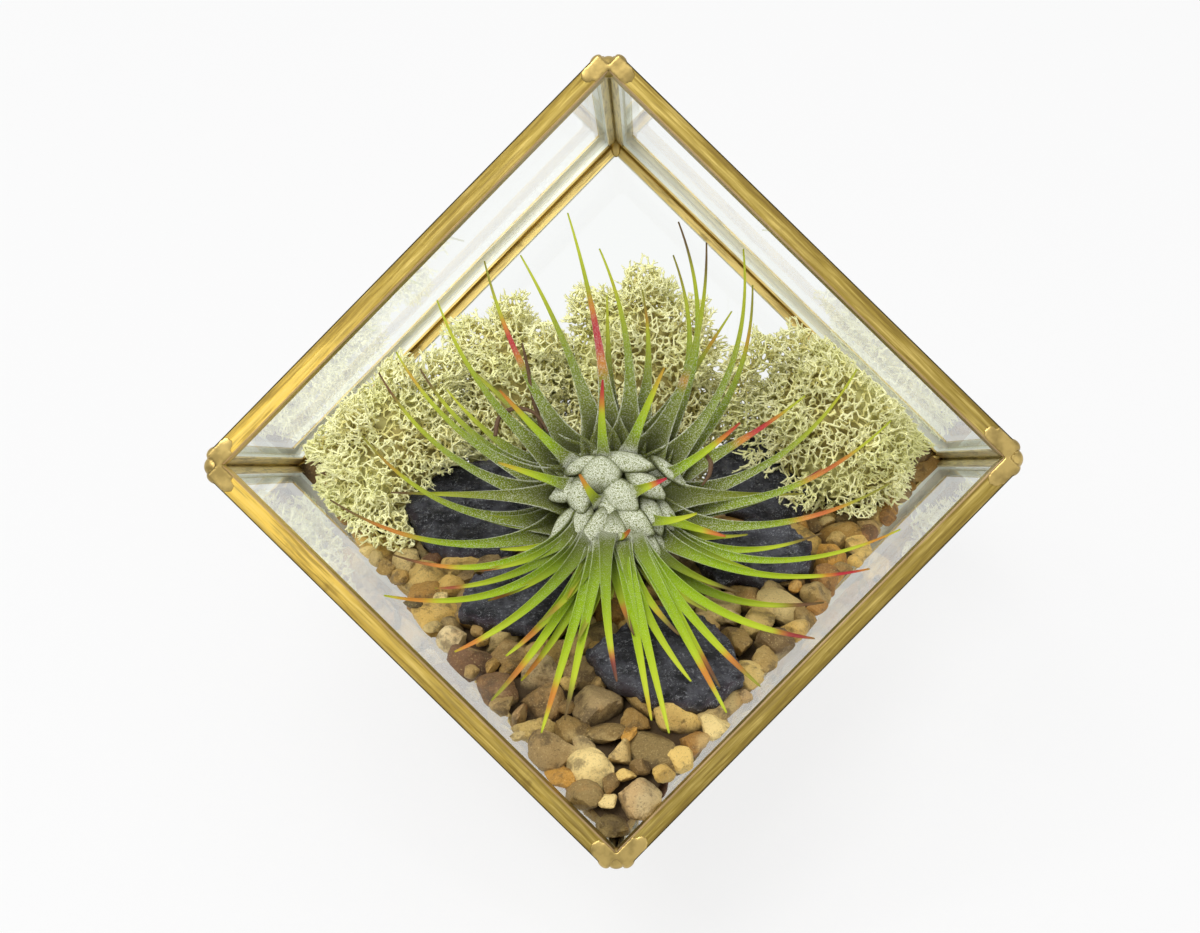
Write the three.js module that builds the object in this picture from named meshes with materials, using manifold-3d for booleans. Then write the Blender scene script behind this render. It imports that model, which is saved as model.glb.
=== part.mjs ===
// Glass plant terrarium: a cube of glass panes in brass channel, tilted to stand on one
// cut-off corner with its upper front face open, planted with an air plant on gravel,
// slate chips and clumps of reindeer moss. Millimetres, +Z up, origin at the middle of
// the base triangle on the table, open face towards -Y.
import * as THREE from 'three';
import Module from 'manifold-3d';
import { mergeVertices } from 'three/addons/utils/BufferGeometryUtils.js';

const wasm = await Module();
wasm.setup();

// Driving dimensions of the glass box
const EDGE = 100; // outer edge of the cube
const FOOT_CUT = 42; // length cut off each edge at the corner it stands on
const BRASS = 0.45; // thickness of the brass channel's walls
const GLASS = 1.8; // thickness of the panes
const GAP = 0.3; // clearance between neighbouring pieces
const LEG = 5.1; // how far a channel's legs reach from the edge over the glass
const FOLD = 0.25; // bevel on the channel's outer folds
const SEAM = 1.3; // height of the seam that joins a double channel's two backs
const GROOVE = 0.9; // where the seam's inner groove ends, as a share of the way to the inner corner
const SLOT = GLASS + 2 * GAP;
const FACE = SLOT + 2 * BRASS; // width of the channel seen edge on
const SOLDER_HOLLOW = 3.6; // radius of the hollow in a corner's solder

// Driving dimensions of the planting
const BED_TOP = 45; // height of the gravel's highest part
const BED_CREST = -35; // where that is, along Y
const BED_FALL = 0.0025; // how the gravel falls off from there, per mm squared
const BED_CORE = 3.2; // depth of the pebble layer round the gravel's core
const PEBBLE_SEED = 41;
// Pebbles: throws, smallest and largest radius, and their least distance in radii
const TOP_PEBBLES = { tries: 3000, least: 3.5, most: 5.4, spacing: 0.72, onTop: true };
const SIDE_PEBBLES = { tries: 2200, least: 6.4, most: 8.4, spacing: 0.88, onTop: false };
const PEBBLE_SHAPE = [1.14, 0.98, 0.78]; // half axes, in radii
const SEATED = 0.86; // distance from a pebble's middle to the glass, in radii
const SUNK = 0.7; // depth of a pebble's middle in the bed's surface, in radii
const HIDDEN = 0.36; // share of a slate's size that hides the pebbles under it
const TURN = 2 * Math.PI;
const KNOB = 4.2; // radius of the moss's knobs
const MOSS_CLEAR = 2; // height of the moss's underside over the bed's surface

const GOLDEN_ANGLE = THREE.MathUtils.degToRad(137.508);

// Driving dimensions of the air plant
const PLANT = {
  middle: [-0.8, 0.3, 54], // middle of the heart
  core: 8.4, // radius of the heart's core
  scales: 11.6, // how far the heart leaves' shoulders stand out
  under: 9, // leaves hidden under the others
  seed: 7,
  tip: 0.6, // width of a leaf at its tip
  blade: 1.9, // more width the blade gains from the tip to the root
  flare: 7, // more width where the root clasps the heart
  flareFall: 8, // length over which that falls off
  thin: 0.6, // least thickness
  keel: 0.5, // thickness, in half widths
  bow: 0.08, // how far a leaf lying back bows to the front, in lengths
  rear: 0.2, // how much of that bow goes as the leaf leans out
  steps: 20, // points worked out along a leaf
  rings: 5, // stretches of its blade
  root: 14, // length from the heart's middle that may touch its neighbours
  free: 0.9, // clearance of the rest from everything
  overBed: 1.2, // more over the gravel
  insideRim: 1, // more behind the open side
  mostLean: 30, // how far a leaf may lean out to come clear
  leanStep: 1.5,
  tipLean: 0.3, // share of that at the tip
  sizes: [1, 0.96, 0.92, 0.86, 0.78, 0.7], // shares of its length that are tried
};

// Long leaves, looking straight into the open face: the tip's place to the right, up and
// out from the heart's middle, and how far the leaf bows to the left of its way
const LONG_LEAVES = [
  [-8, 54, 0, -2], [-2, 47, 2, -4.5], [-17, 46, 1, -2], [-25, 47, -1, 3.3], [-34, 39, 5, 5],
  [-41, 28, -1, 6], [-46, 25, 1, 8], [-37, 25, -7, 5], [-32, 21, -9, 3], [-47, 12, 5, 9],
  [6, 40, -11, -3.5], [12, 46, -3, -8], [13, 52, 1, -9], [18, 47, 13, -5], [26, 48, 9, -9],
  [27, 40, -1, -8], [37, 19, -5, -2], [47, 24, -5, -8], [53, 14, -1, -7.4],
  [52, 2, 3, -6.5], [40, 5, -3, -4.8], [52, -6, 25, -8.5], [47, -13, 42, -7],
  [40, -20, 22, -8], [35, -24, 44, -6], [39, -7, 6, -6], [25, -7, 14, -3], [31, -15, 16, -2],
  [27, -34, 38, -2], [20, -37, 38, 0], [19, -33, 33, 0], [14, -32, 32, -2.5],
  [1, -32, 30, -1.5], [7, -38, 40, 0], [10, -40, 42, 0], [-8, -38, 38, 0], [-11, -37, 36, 0],
  [-12, -40, 41, 0], [-16, -32, 29, 2.6], [-21, -35, 34, 2.5], [-19, -28, 23, 3],
  [-28, -27, 24, 3.7], [-41, -17, 38, 8], [-32, -16, 18, 4.4], [-25, -13, 17, 3],
  [-40, -10, 12, 6.5], [-53, 0, 6, 8.5], [-33, 0, 5, 4.5],
];

// Leaves of the heart: where the shoulder stands, to the right and up, and the tip's place
// to the right, up and out
const HEART_LEAVES = [
  [-1.7, 5.2, -1.4, 21.8, 15], [2.5, 7.4, 10, 24, 13], [9.3, 2.5, 23.8, 13.6, 14],
  [1.8, 0.1, 10.2, 3.5, 15], [-1.2, -3, -5.8, 4.4, 16], [-5.6, 1.5, -20.9, 6.7, 13],
  [-7.3, 5.7, -20.7, 20.2, 10], [4.6, -5.1, 15.7, -3, 15], [8, -3.5, 21, -7.3, 13],
  [0.3, -7.9, 3.3, -5.9, 16], [-3.9, -7.5, -20.7, -9.3, 13], [-1.3, -10, -2.3, -14.5, 13],
];

const vec = (x, y, z) => new THREE.Vector3(x, y, z);
const radians = THREE.MathUtils.degToRad;

// Solids: three.js geometry in, joined or cut, three.js geometry out
function solid(geometry) {
  const bare = geometry.clone();
  bare.deleteAttribute('normal');
  bare.deleteAttribute('uv');
  const merged = mergeVertices(bare, 1e-4);
  return new wasm.Manifold(new wasm.Mesh({
    numProp: 3,
    vertProperties: merged.attributes.position.array,
    triVerts: new Uint32Array(merged.index.array),
  }));
}

function geometryOf(body) {
  const mesh = body.getMesh();
  const geometry = new THREE.BufferGeometry();
  geometry.setAttribute('position', new THREE.BufferAttribute(mesh.vertProperties, 3));
  geometry.setIndex(new THREE.BufferAttribute(mesh.triVerts, 1));
  geometry.computeVertexNormals();
  return geometry;
}

const joined = (bodies) => wasm.Manifold.union(bodies);

// The largest body of a solid, without loose scraps
function mainBody(body) {
  return body.decompose().reduce((a, b) => (a.volume() > b.volume() ? a : b));
}

// A material keeps its own colour, roughness and metalness
function finish(color, roughness, metalness = 0, opacity = 1) {
  return new THREE.MeshStandardMaterial({
    color, roughness, metalness, opacity, transparent: opacity < 1,
  });
}

const brass = finish(0xb08d3e, 0.35, 1);
const solder = finish(0xcbb06a, 0.4, 1);
const clearGlass = finish(0xe6f0ea, 0.05, 0, 0.3);
const gravelStone = finish(0xa88a5c, 0.8);
const slateStone = finish(0x4a4655, 0.7);
const driedMoss = finish(0xc9cf93, 0.95);
const leafGreen = finish(0x7f9a4e, 0.6);

function piece(name, body, material) {
  const mesh = new THREE.Mesh(geometryOf(body), material);
  mesh.name = name;
  return mesh;
}

// Repeatable random numbers, the same for the same seed
function randomFrom(seed) {
  let state = seed >>> 0;
  return () => {
    state = (state + 0x6d2b79f5) >>> 0;
    let mixed = Math.imul(state ^ (state >>> 15), state | 1);
    mixed ^= mixed + Math.imul(mixed ^ (mixed >>> 7), mixed | 61);
    return ((mixed ^ (mixed >>> 14)) >>> 0) / 4294967296;
  };
}

// The cube's own frame: x towards the open face, its cut corner at (0, 0, 0)
const corners = {
  top_front: vec(EDGE, EDGE, EDGE),
  right_front: vec(EDGE, EDGE, 0),
  bottom_front: vec(EDGE, 0, 0),
  left_front: vec(EDGE, 0, EDGE),
  top_back: vec(0, EDGE, EDGE),
  right_back: vec(0, EDGE, 0),
  left_back: vec(0, 0, EDGE),
  foot_front: vec(FOOT_CUT, 0, 0),
  foot_right: vec(0, FOOT_CUT, 0),
  foot_left: vec(0, 0, FOOT_CUT),
};

// Each face by its inward normal and one corner on it
const faces = {
  back: { normal: vec(1, 0, 0), corner: corners.top_back },
  lower_left: { normal: vec(0, 1, 0), corner: corners.left_back },
  lower_right: { normal: vec(0, 0, 1), corner: corners.right_back },
  upper_right: { normal: vec(0, -1, 0), corner: corners.top_back },
  upper_left: { normal: vec(0, 0, -1), corner: corners.top_back },
  base: { normal: vec(1, 1, 1).normalize(), corner: corners.foot_front },
  open: { normal: vec(-1, 0, 0), corner: corners.top_front },
};

// Every channel: its name, its two end corners and the two faces that meet along it
const edges = [
  ['rim_upper_right', 'top_front', 'right_front', 'upper_right', 'open'],
  ['rim_upper_left', 'top_front', 'left_front', 'upper_left', 'open'],
  ['rim_lower_left', 'left_front', 'bottom_front', 'lower_left', 'open'],
  ['rim_lower_right', 'right_front', 'bottom_front', 'lower_right', 'open'],
  ['came_top', 'top_front', 'top_back', 'upper_right', 'upper_left'],
  ['came_right', 'right_front', 'right_back', 'upper_right', 'lower_right'],
  ['came_left', 'left_front', 'left_back', 'upper_left', 'lower_left'],
  ['came_bottom', 'bottom_front', 'foot_front', 'lower_left', 'lower_right'],
  ['came_back_upper_right', 'top_back', 'right_back', 'upper_right', 'back'],
  ['came_back_upper_left', 'top_back', 'left_back', 'upper_left', 'back'],
  ['came_back_lower_left', 'left_back', 'foot_left', 'lower_left', 'back'],
  ['came_back_lower_right', 'right_back', 'foot_right', 'lower_right', 'back'],
  ['foot_right_side', 'foot_front', 'foot_right', 'lower_right', 'base'],
  ['foot_left_side', 'foot_front', 'foot_left', 'lower_left', 'base'],
  ['foot_back', 'foot_right', 'foot_left', 'back', 'base'],
].map(([name, from, to, sideA, sideB]) => ({ name, ends: [from, to], sides: [sideA, sideB] }));

// Unit direction along an edge, starting at one of its end corners
function directionFrom(edge, corner) {
  const other = edge.ends[0] === corner ? edge.ends[1] : edge.ends[0];
  return corners[other].clone().sub(corners[corner]).normalize();
}

// Direction inside one face, square to the edge it shares with another face
function armOf(side, otherSide) {
  const inward = faces[side].normal;
  const other = faces[otherSide].normal;
  return other.clone().addScaledVector(inward, -other.dot(inward)).normalize();
}

// Section of a channel in the plane across its edge: X along the first pane, Y into the box
function channelSection(edge) {
  const [sideA, sideB] = edge.sides;
  const armA = armOf(sideA, sideB);
  const inA = faces[sideA].normal;
  const armB = armOf(sideB, sideA);
  const inB = faces[sideB].normal;
  const onA = (along, deep) => new THREE.Vector2(along, deep);
  const onB = (along, deep) => {
    const p = armB.clone().multiplyScalar(along).addScaledVector(inB, deep);
    return new THREE.Vector2(p.dot(armA), p.dot(inA));
  };
  return { armA, inA, onA, onB, open: sideB === 'open', inner: innerCornerAlong(edge) };
}

// How far along each pane the inner corner of a channel lies
function innerCornerAlong(edge) {
  const [sideA, sideB] = edge.sides;
  const spread = Math.PI - faces[sideA].normal.angleTo(faces[sideB].normal);
  return FACE / Math.tan(spread / 2);
}

// A U channel over one pane's free edge
function rimOutline({ onA }) {
  return [
    onA(FOLD, 0), onA(LEG, 0), onA(LEG, BRASS), onA(BRASS, BRASS), onA(BRASS, BRASS + SLOT),
    onA(LEG, BRASS + SLOT), onA(LEG, FACE), onA(FOLD, FACE), onA(0, FACE - FOLD), onA(0, FOLD),
  ];
}

// A double channel: one U for each of two panes, their backs joined by a seam near the
// inner corner, with an open groove on the outside and a narrow one on the inside
function doubleOutline({ onA, onB, inner }) {
  const slotEnd = inner + BRASS;
  const arm = (on) => [
    on(inner, FACE - SEAM), on(inner, FOLD), on(inner + FOLD, 0), on(LEG, 0), on(LEG, BRASS),
    on(slotEnd, BRASS), on(slotEnd, BRASS + SLOT), on(LEG, BRASS + SLOT), on(LEG, FACE),
    on(slotEnd, FACE),
  ];
  const grooveEnd = onA(inner, FACE).multiplyScalar(GROOVE);
  return [...arm(onA), grooveEnd, ...arm(onB).reverse()];
}

// The outline of the room a channel takes, with no slots and grown by a clearance
function keepOutOutline({ onA, onB, inner, open }, grow) {
  const arm = (on, length) => [on(length, 0), on(length, FACE + grow)];
  const widthB = open ? FACE : LEG;
  const corner = onA(inner + grow, FACE + grow);
  return [onA(0, 0), ...arm(onA, LEG + grow), corner, ...arm(onB, widthB + grow).reverse()];
}

// An outline drawn across an edge and run along it from end to end
function runAlong(edge, outline, section) {
  const along = section.armA.clone().cross(section.inA);
  const backwards = directionFrom(edge, edge.ends[0]).dot(along) < 0;
  const start = corners[edge.ends[backwards ? 1 : 0]];
  const length = corners[edge.ends[0]].distanceTo(corners[edge.ends[1]]);
  const bar = new THREE.ExtrudeGeometry(new THREE.Shape(outline), {
    depth: length,
    bevelEnabled: false,
  });
  const place = new THREE.Matrix4().makeBasis(section.armA, section.inA, along).setPosition(start);
  return bar.applyMatrix4(place);
}

// Keep the side of a plane that its normal points to
function keepAhead(body, normal, point) {
  return body.trimByPlane(normal.toArray(), normal.dot(point));
}

// Cut a channel square at a corner and mitre it against its neighbours there
function cutEnd(body, edge, corner) {
  const own = directionFrom(edge, corner);
  const at = corners[corner];
  let cut = keepAhead(body, own, at.clone().addScaledVector(own, FACE));
  for (const other of edges) {
    if (other === edge || !other.ends.includes(corner)) continue;
    const mitre = own.clone().sub(directionFrom(other, corner)).normalize();
    cut = keepAhead(cut, mitre, at.clone().addScaledVector(mitre, GAP / 2));
  }
  return cut;
}

function channel(edge) {
  const section = channelSection(edge);
  const outline = section.open ? rimOutline(section) : doubleOutline(section);
  let body = solid(runAlong(edge, outline, section));
  for (const corner of edge.ends) body = cutEnd(body, edge, corner);
  return piece(edge.name, body, brass);
}

// A pane: a sheet in its face's plane, cut back from every channel round it
function pane(side) {
  const { normal, corner } = faces[side];
  const sheet = new THREE.BoxGeometry(4 * EDGE, 4 * EDGE, GLASS);
  const turn = new THREE.Quaternion().setFromUnitVectors(vec(0, 0, 1), normal);
  const middle = corner.clone().addScaledVector(normal, BRASS + GAP + GLASS / 2);
  sheet.applyMatrix4(new THREE.Matrix4().compose(middle, turn, vec(1, 1, 1)));
  let body = solid(sheet);
  for (const edge of edges) {
    if (!edge.sides.includes(side)) continue;
    const other = edge.sides[0] === side ? edge.sides[1] : edge.sides[0];
    const arm = armOf(side, other);
    const inset = (other === 'open' ? 0 : innerCornerAlong(edge)) + BRASS + GAP;
    body = keepAhead(body, arm, corners[edge.ends[0]].clone().addScaledVector(arm, inset));
  }
  return piece('pane_' + side, body, clearGlass);
}

// The solder in a corner: it fills the space between the channels' square ends and
// is hollowed from outside
function solderJoint(corner) {
  const at = corners[corner];
  let body = solid(new THREE.BoxGeometry(6 * FACE, 6 * FACE, 6 * FACE).translate(...at));
  const meeting = edges.filter((edge) => edge.ends.includes(corner));
  for (const edge of meeting) {
    const out = directionFrom(edge, corner).negate();
    body = keepAhead(body, out, at.clone().addScaledVector(out, GAP - FACE));
  }
  for (const side of new Set(meeting.flatMap((edge) => edge.sides))) {
    const inward = faces[side].normal;
    body = keepAhead(body, inward, at);
    const outward = inward.clone().negate();
    body = keepAhead(body, outward, at.clone().addScaledVector(inward, FACE));
  }
  const hollow = new THREE.IcosahedronGeometry(SOLDER_HOLLOW, 2).translate(...at);
  return piece('solder_' + corner, mainBody(body.subtract(solid(hollow))), solder);
}

// The glass box, tilted so that the cut corner's face lies on the table
function glassBox() {
  const box = new THREE.Group();
  const right = vec(1, 0, 0);
  const axisX = vec(0, -2, Math.SQRT2).normalize();
  const axisY = vec(Math.sqrt(3), 1, Math.SQRT2).normalize();
  const axisZ = axisX.clone().cross(axisY);
  box.quaternion.setFromRotationMatrix(new THREE.Matrix4().makeBasis(axisX, axisY, axisZ));
  box.position.set(0, 0, -FOOT_CUT / Math.sqrt(3));
  edges.forEach((edge) => box.add(channel(edge)));
  Object.keys(faces).filter((side) => side !== 'open').forEach((side) => box.add(pane(side)));
  Object.keys(corners).forEach((corner) => box.add(solderJoint(corner)));
  box.updateMatrixWorld(true);
  return box;
}

const box = glassBox();

// Planes of the glass's inner faces in the part's frame, with the clearance
const walls = Object.entries(faces).map(([side, { normal, corner }]) => {
  const inward = normal.clone().transformDirection(box.matrixWorld);
  const depth = side === 'open' ? FACE : BRASS + GAP + GLASS + GAP;
  const point = corner.clone().applyMatrix4(box.matrixWorld).addScaledVector(inward, depth);
  return { side, inward, point };
});
const wallDistance = (wall, p) => wall.inward.dot(p) - wall.inward.dot(wall.point);

// Room taken by all the channels, in the part's frame
const channelRoom = joined(edges.map((edge) => {
  const section = channelSection(edge);
  const bar = runAlong(edge, keepOutOutline(section, GAP), section);
  return solid(bar.applyMatrix4(box.matrixWorld));
}));

// What lies inside the glass and clear of the channels
function insideBox(body) {
  const within = walls.reduce((rest, wall) => keepAhead(rest, wall.inward, wall.point), body);
  return within.subtract(channelRoom);
}

// The gravel's surface falls away from its crest to the back and the front
const bedHeight = (y) => BED_TOP - BED_FALL * (y - BED_CREST) ** 2;

// All the space under the gravel's surface, lowered by a depth
function underBed(depth) {
  const reach = 1.2 * EDGE;
  const outline = [new THREE.Vector2(-reach, -reach)];
  const steps = 16;
  for (let i = 0; i <= steps; i += 1) {
    const y = reach * (2 * i / steps - 1);
    outline.push(new THREE.Vector2(y, bedHeight(y) - depth));
  }
  outline.push(new THREE.Vector2(reach, -reach));
  const block = new THREE.ExtrudeGeometry(new THREE.Shape(outline), {
    depth: 2 * reach,
    bevelEnabled: false,
  });
  block.translate(0, 0, -reach);
  const place = new THREE.Matrix4().makeBasis(vec(0, 1, 0), vec(0, 0, 1), vec(1, 0, 0));
  return solid(block.applyMatrix4(place));
}

// Slate chips: middle, size across, along and thick, lean towards the viewer, turn, seed
const slates = [
  { name: 'slate_front', at: [9, -40, 47.3], size: [29, 24, 5], lean: 12, turn: 8, seed: 3 },
  { name: 'slate_front_left', at: [-17.5, -23, 47], size: [25, 19, 5], lean: 10, turn: -12, seed: 5 },
  { name: 'slate_back_left', at: [-27, 8.5, 45.2], size: [27, 26, 5.5], lean: 14, turn: 15, seed: 9 },
  { name: 'slate_back_right', at: [29, 20, 43.2], size: [22, 24, 5], lean: 16, turn: -25, seed: 12 },
  { name: 'slate_right', at: [25, -7.5, 45.8], size: [24, 17, 5], lean: 8, turn: 6, seed: 15 },
  { name: 'slate_under_plant', at: [-1, 4, 43.9], size: [24, 22, 4.6], lean: 6, turn: 30, seed: 21 },
];

function slateBody({ at, size, lean, turn, seed }, grow = 0) {
  const random = randomFrom(seed);
  const sides = 9;
  const chip = 1.1;
  const outline = [];
  for (let i = 0; i < sides; i += 1) {
    const angle = 2 * Math.PI * (i + 0.5 * random()) / sides;
    const out = 0.5 * (0.84 + 0.3 * random());
    const x = (size[0] * out - chip + grow) * Math.cos(angle);
    const y = (size[1] * out - chip + grow) * Math.sin(angle);
    outline.push(new THREE.Vector2(x, y));
  }
  const plate = new THREE.ExtrudeGeometry(new THREE.Shape(outline), {
    depth: size[2] - 2 * chip + 2 * grow,
    bevelThickness: chip,
    bevelSize: chip,
    bevelSegments: 1,
  });
  plate.translate(0, 0, chip - size[2] / 2 - grow);
  plate.rotateZ(radians(turn));
  plate.rotateX(radians(lean));
  return solid(plate.translate(...at));
}

const slateRoom = joined(slates.map((slate) => slateBody(slate, GAP)));

// A pebble: a squashed and turned ball of few faces
function pebbleBody({ at, radius, turn }) {
  const ball = new THREE.IcosahedronGeometry(radius, 0);
  ball.scale(...PEBBLE_SHAPE);
  ball.applyMatrix4(new THREE.Matrix4().makeRotationFromEuler(new THREE.Euler(...turn)));
  return solid(ball.translate(...at));
}

// Whether a pebble would lie out of sight under a slate
function hiddenBelow(at) {
  return slates.some(({ at: middle, size }) => {
    const flat = Math.hypot((at.x - middle[0]) / size[0], (at.y - middle[1]) / size[1]);
    return flat < HIDDEN;
  });
}

const paneWalls = walls.filter((wall) => wall.side !== 'open');
const openSide = walls.find((wall) => wall.side === 'open');

// Pebbles by a seeded rule: points are thrown into the bed, drawn to its surface or to
// the nearest glass, and kept where they're clear of the pebbles before them
function throwPebbles(kept, random, { tries, least, most, spacing, onTop }) {
  for (let i = 0; i < tries; i += 1) {
    const at = vec(140 * random() - 70, 116 * random() - 76, 48 * random());
    const radius = least + (most - least) * random();
    const turn = [TURN * random(), TURN * random(), TURN * random()];
    const seat = SEATED * radius;
    const depths = paneWalls.map((wall) => wallDistance(wall, at));
    const nearest = Math.min(...depths);
    if (onTop) at.z = bedHeight(at.y) - SUNK * radius;
    else at.addScaledVector(paneWalls[depths.indexOf(nearest)].inward, seat - nearest);
    if (bedHeight(at.y) - at.z < SUNK * radius - 0.01) continue;
    const clear = paneWalls.every((wall) => wallDistance(wall, at) > seat - 0.01);
    if (!clear || wallDistance(openSide, at) < seat) continue;
    if (onTop && hiddenBelow(at)) continue;
    const room = (other) => other.at.distanceTo(at) > spacing * (other.radius + radius);
    if (kept.every(room)) kept.push({ at, radius, turn });
  }
}

function placePebbles() {
  const random = randomFrom(PEBBLE_SEED);
  const kept = [];
  throwPebbles(kept, random, TOP_PEBBLES);
  throwPebbles(kept, random, SIDE_PEBBLES);
  return kept;
}

function gravelBed() {
  let core = underBed(BED_CORE);
  for (const wall of walls) {
    core = keepAhead(core, wall.inward, wall.point.clone().addScaledVector(wall.inward, BED_CORE));
  }
  const pebbles = placePebbles().map(pebbleBody);
  const bed = insideBox(joined([core, ...pebbles])).subtract(slateRoom);
  return piece('gravel_bed', mainBody(bed), gravelStone);
}

// Clumps of moss lean on the glass: middle, half sizes towards the opening, across and
// up the tilted back pane, number of knobs, seed
const towardsOpening = faces.open.normal.clone().negate().transformDirection(box.matrixWorld);
const across = vec(1, 0, 0);
const upBack = towardsOpening.clone().cross(across);
const mossClumps = [
  { name: 'moss_left', at: [-44.5, 21.5, 48], half: [13, 13, 16], knobs: 20, seed: 31 },
  { name: 'moss_back_left', at: [-22, 35.5, 53.7], half: [10, 10, 17], knobs: 16, seed: 32 },
  { name: 'moss_back', at: [4, 35.4, 55.2], half: [11, 15, 21], knobs: 22, seed: 33 },
  { name: 'moss_right', at: [43.5, 28.2, 50.3], half: [13, 16, 18], knobs: 22, seed: 34 },
];

function mossFrame({ at }) {
  return new THREE.Matrix4().makeBasis(towardsOpening, across, upBack).setPosition(...at);
}

// Where a clump's knobs stand: points spread evenly over its core, and each knob's radius
function mossKnobs(clump) {
  const random = randomFrom(clump.seed);
  const knobs = [];
  for (let i = 0; i < clump.knobs; i += 1) {
    const height = 1 - 2 * (i + 0.5) / clump.knobs;
    const angle = i * GOLDEN_ANGLE + 0.6 * random();
    const ring = Math.sqrt(1 - height * height);
    const out = 0.86 + 0.22 * random();
    const at = vec(ring * Math.cos(angle), ring * Math.sin(angle), height);
    at.multiply(vec(...clump.half)).multiplyScalar(out);
    knobs.push({ at: at.applyMatrix4(mossFrame(clump)), radius: KNOB * (0.75 + 0.5 * random()) });
  }
  return knobs;
}

// A clump: a core that branched knobs stand out of all over
function mossBody(clump) {
  const core = new THREE.IcosahedronGeometry(0.97, 1);
  const bodies = [solid(core.scale(...clump.half).applyMatrix4(mossFrame(clump)))];
  for (const { at, radius } of mossKnobs(clump)) {
    const knob = new THREE.IcosahedronGeometry(radius, 0);
    bodies.push(solid(knob.rotateX(at.x).rotateZ(at.z).translate(...at)));
  }
  return joined(bodies);
}

// Each clump keeps clear of the gravel, the slates, the glass and the clumps before it
function mossPieces() {
  const taken = [underBed(-MOSS_CLEAR), slateRoom];
  return mossClumps.map((clump) => {
    const body = mainBody(insideBox(mossBody(clump)).subtract(joined(taken)));
    taken.push(mossRoom(clump));
    return piece(clump.name, body, driedMoss);
  });
}

// The room round a clump that its neighbour gives way to
function mossRoom(clump) {
  const core = new THREE.IcosahedronGeometry(1, 2);
  const grown = clump.half.map((half) => half + KNOB);
  return solid(core.scale(...grown).applyMatrix4(mossFrame(clump)));
}

// The rosette's frame looks straight into the open face: right, up and out
const heartMiddle = vec(...PLANT.middle);
function fromHeart(right, up, out) {
  return heartMiddle.clone().addScaledVector(across, right).addScaledVector(upBack, up)
    .addScaledVector(towardsOpening, out);
}

// A long leaf as a bent line from the heart's middle by way of a guide point to its tip
function longLeaf([right, up, out, bow]) {
  const length = Math.hypot(right, up, out);
  const flat = Math.hypot(right, up);
  const lean = PLANT.bow * length - PLANT.rear * out;
  const guide = [
    right / 2 - 2 * bow * up / flat,
    up / 2 + 2 * bow * right / flat,
    out / 2 + 2 * lean,
  ];
  return { guide, tip: [right, up, out], away: [right / flat, up / flat], short: false };
}

// A leaf of the heart: it stands out at its shoulder, then curls over to its tip
function heartLeaf([right, up, tipRight, tipUp, tipOut]) {
  const flat = Math.hypot(right, up);
  const out = Math.sqrt(PLANT.scales ** 2 - flat ** 2);
  const away = Math.hypot(tipRight, tipUp);
  return {
    guide: [1.35 * right, 1.35 * up, 1.35 * out],
    tip: [tipRight, tipUp, tipOut],
    away: [tipRight / away, tipUp / away],
    short: true,
  };
}

// The leaves hidden under the others, turned evenly round the heart
function underLeaves() {
  const random = randomFrom(PLANT.seed);
  return Array.from({ length: PLANT.under }, (_, index) => {
    const turn = TURN * (index + 0.6 * random()) / PLANT.under;
    const length = 36 + 12 * random();
    const out = -3 - 8 * random();
    return longLeaf([length * Math.cos(turn), length * Math.sin(turn), out, 0]);
  });
}

// Points along a leaf: where each is, its side and the way its upper side faces
function leafPath({ guide, tip, away }, lift = 0, shrink = 1) {
  const root = fromHeart(0, 0, 0);
  const lifted = ([right, up, out], share) => fromHeart(
    shrink * right, shrink * up, shrink * out + share * lift,
  );
  const bend = new THREE.QuadraticBezierCurve3(root, lifted(guide, 1), lifted(tip, PLANT.tipLean));
  const inwards = towardsOpening.clone().addScaledVector(across, -0.5 * away[0])
    .addScaledVector(upBack, -0.5 * away[1]);
  const path = [];
  let gone = 0;
  let last = root;
  for (let i = 0; i <= PLANT.steps; i += 1) {
    const along = i / PLANT.steps;
    const at = bend.getPoint(along);
    const ahead = bend.getTangent(along);
    gone += at.distanceTo(last);
    last = at;
    const side = ahead.clone().cross(inwards).normalize();
    path.push({ at, side, upper: side.clone().cross(ahead), along, gone });
  }
  return path;
}

function leafWidth({ along, gone }) {
  const flare = PLANT.flare * Math.exp(-Math.max(0, gone - PLANT.scales) / PLANT.flareFall);
  return PLANT.tip + (PLANT.blade * (1 - along)) + flare * Math.min(1, 2.5 * (1 - along));
}

// Whether a point of a leaf lies clear of the glass, the gravel, the slates and the moss
function leafClear(point) {
  const { at } = point;
  const room = 0.5 * leafWidth(point) + PLANT.free;
  if (paneWalls.some((wall) => wallDistance(wall, at) < room)) return false;
  if (wallDistance(openSide, at) < room + PLANT.insideRim) return false;
  if (at.z - bedHeight(at.y) < room + PLANT.overBed) return false;
  if (slates.some((slate) => nearSlate(slate, at, room + GAP))) return false;
  return !mossClumps.some((clump) => nearMoss(clump, at, room));
}

function nearSlate(slate, at, room) {
  const local = at.clone().sub(vec(...slate.at));
  local.applyAxisAngle(vec(1, 0, 0), -radians(slate.lean));
  local.applyAxisAngle(vec(0, 0, 1), -radians(slate.turn));
  const flat = Math.hypot(local.x / (slate.size[0] / 2 + room), local.y / (slate.size[1] / 2 + room));
  return flat < 1 && Math.abs(local.z) < slate.size[2] / 2 + room;
}

function nearMoss(clump, at, room) {
  const local = at.clone().applyMatrix4(mossFrame(clump).invert());
  const grown = clump.half.map((half) => 1.08 * half + KNOB * 1.25 + room);
  return local.divide(vec(...grown)).length() < 1;
}

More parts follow.
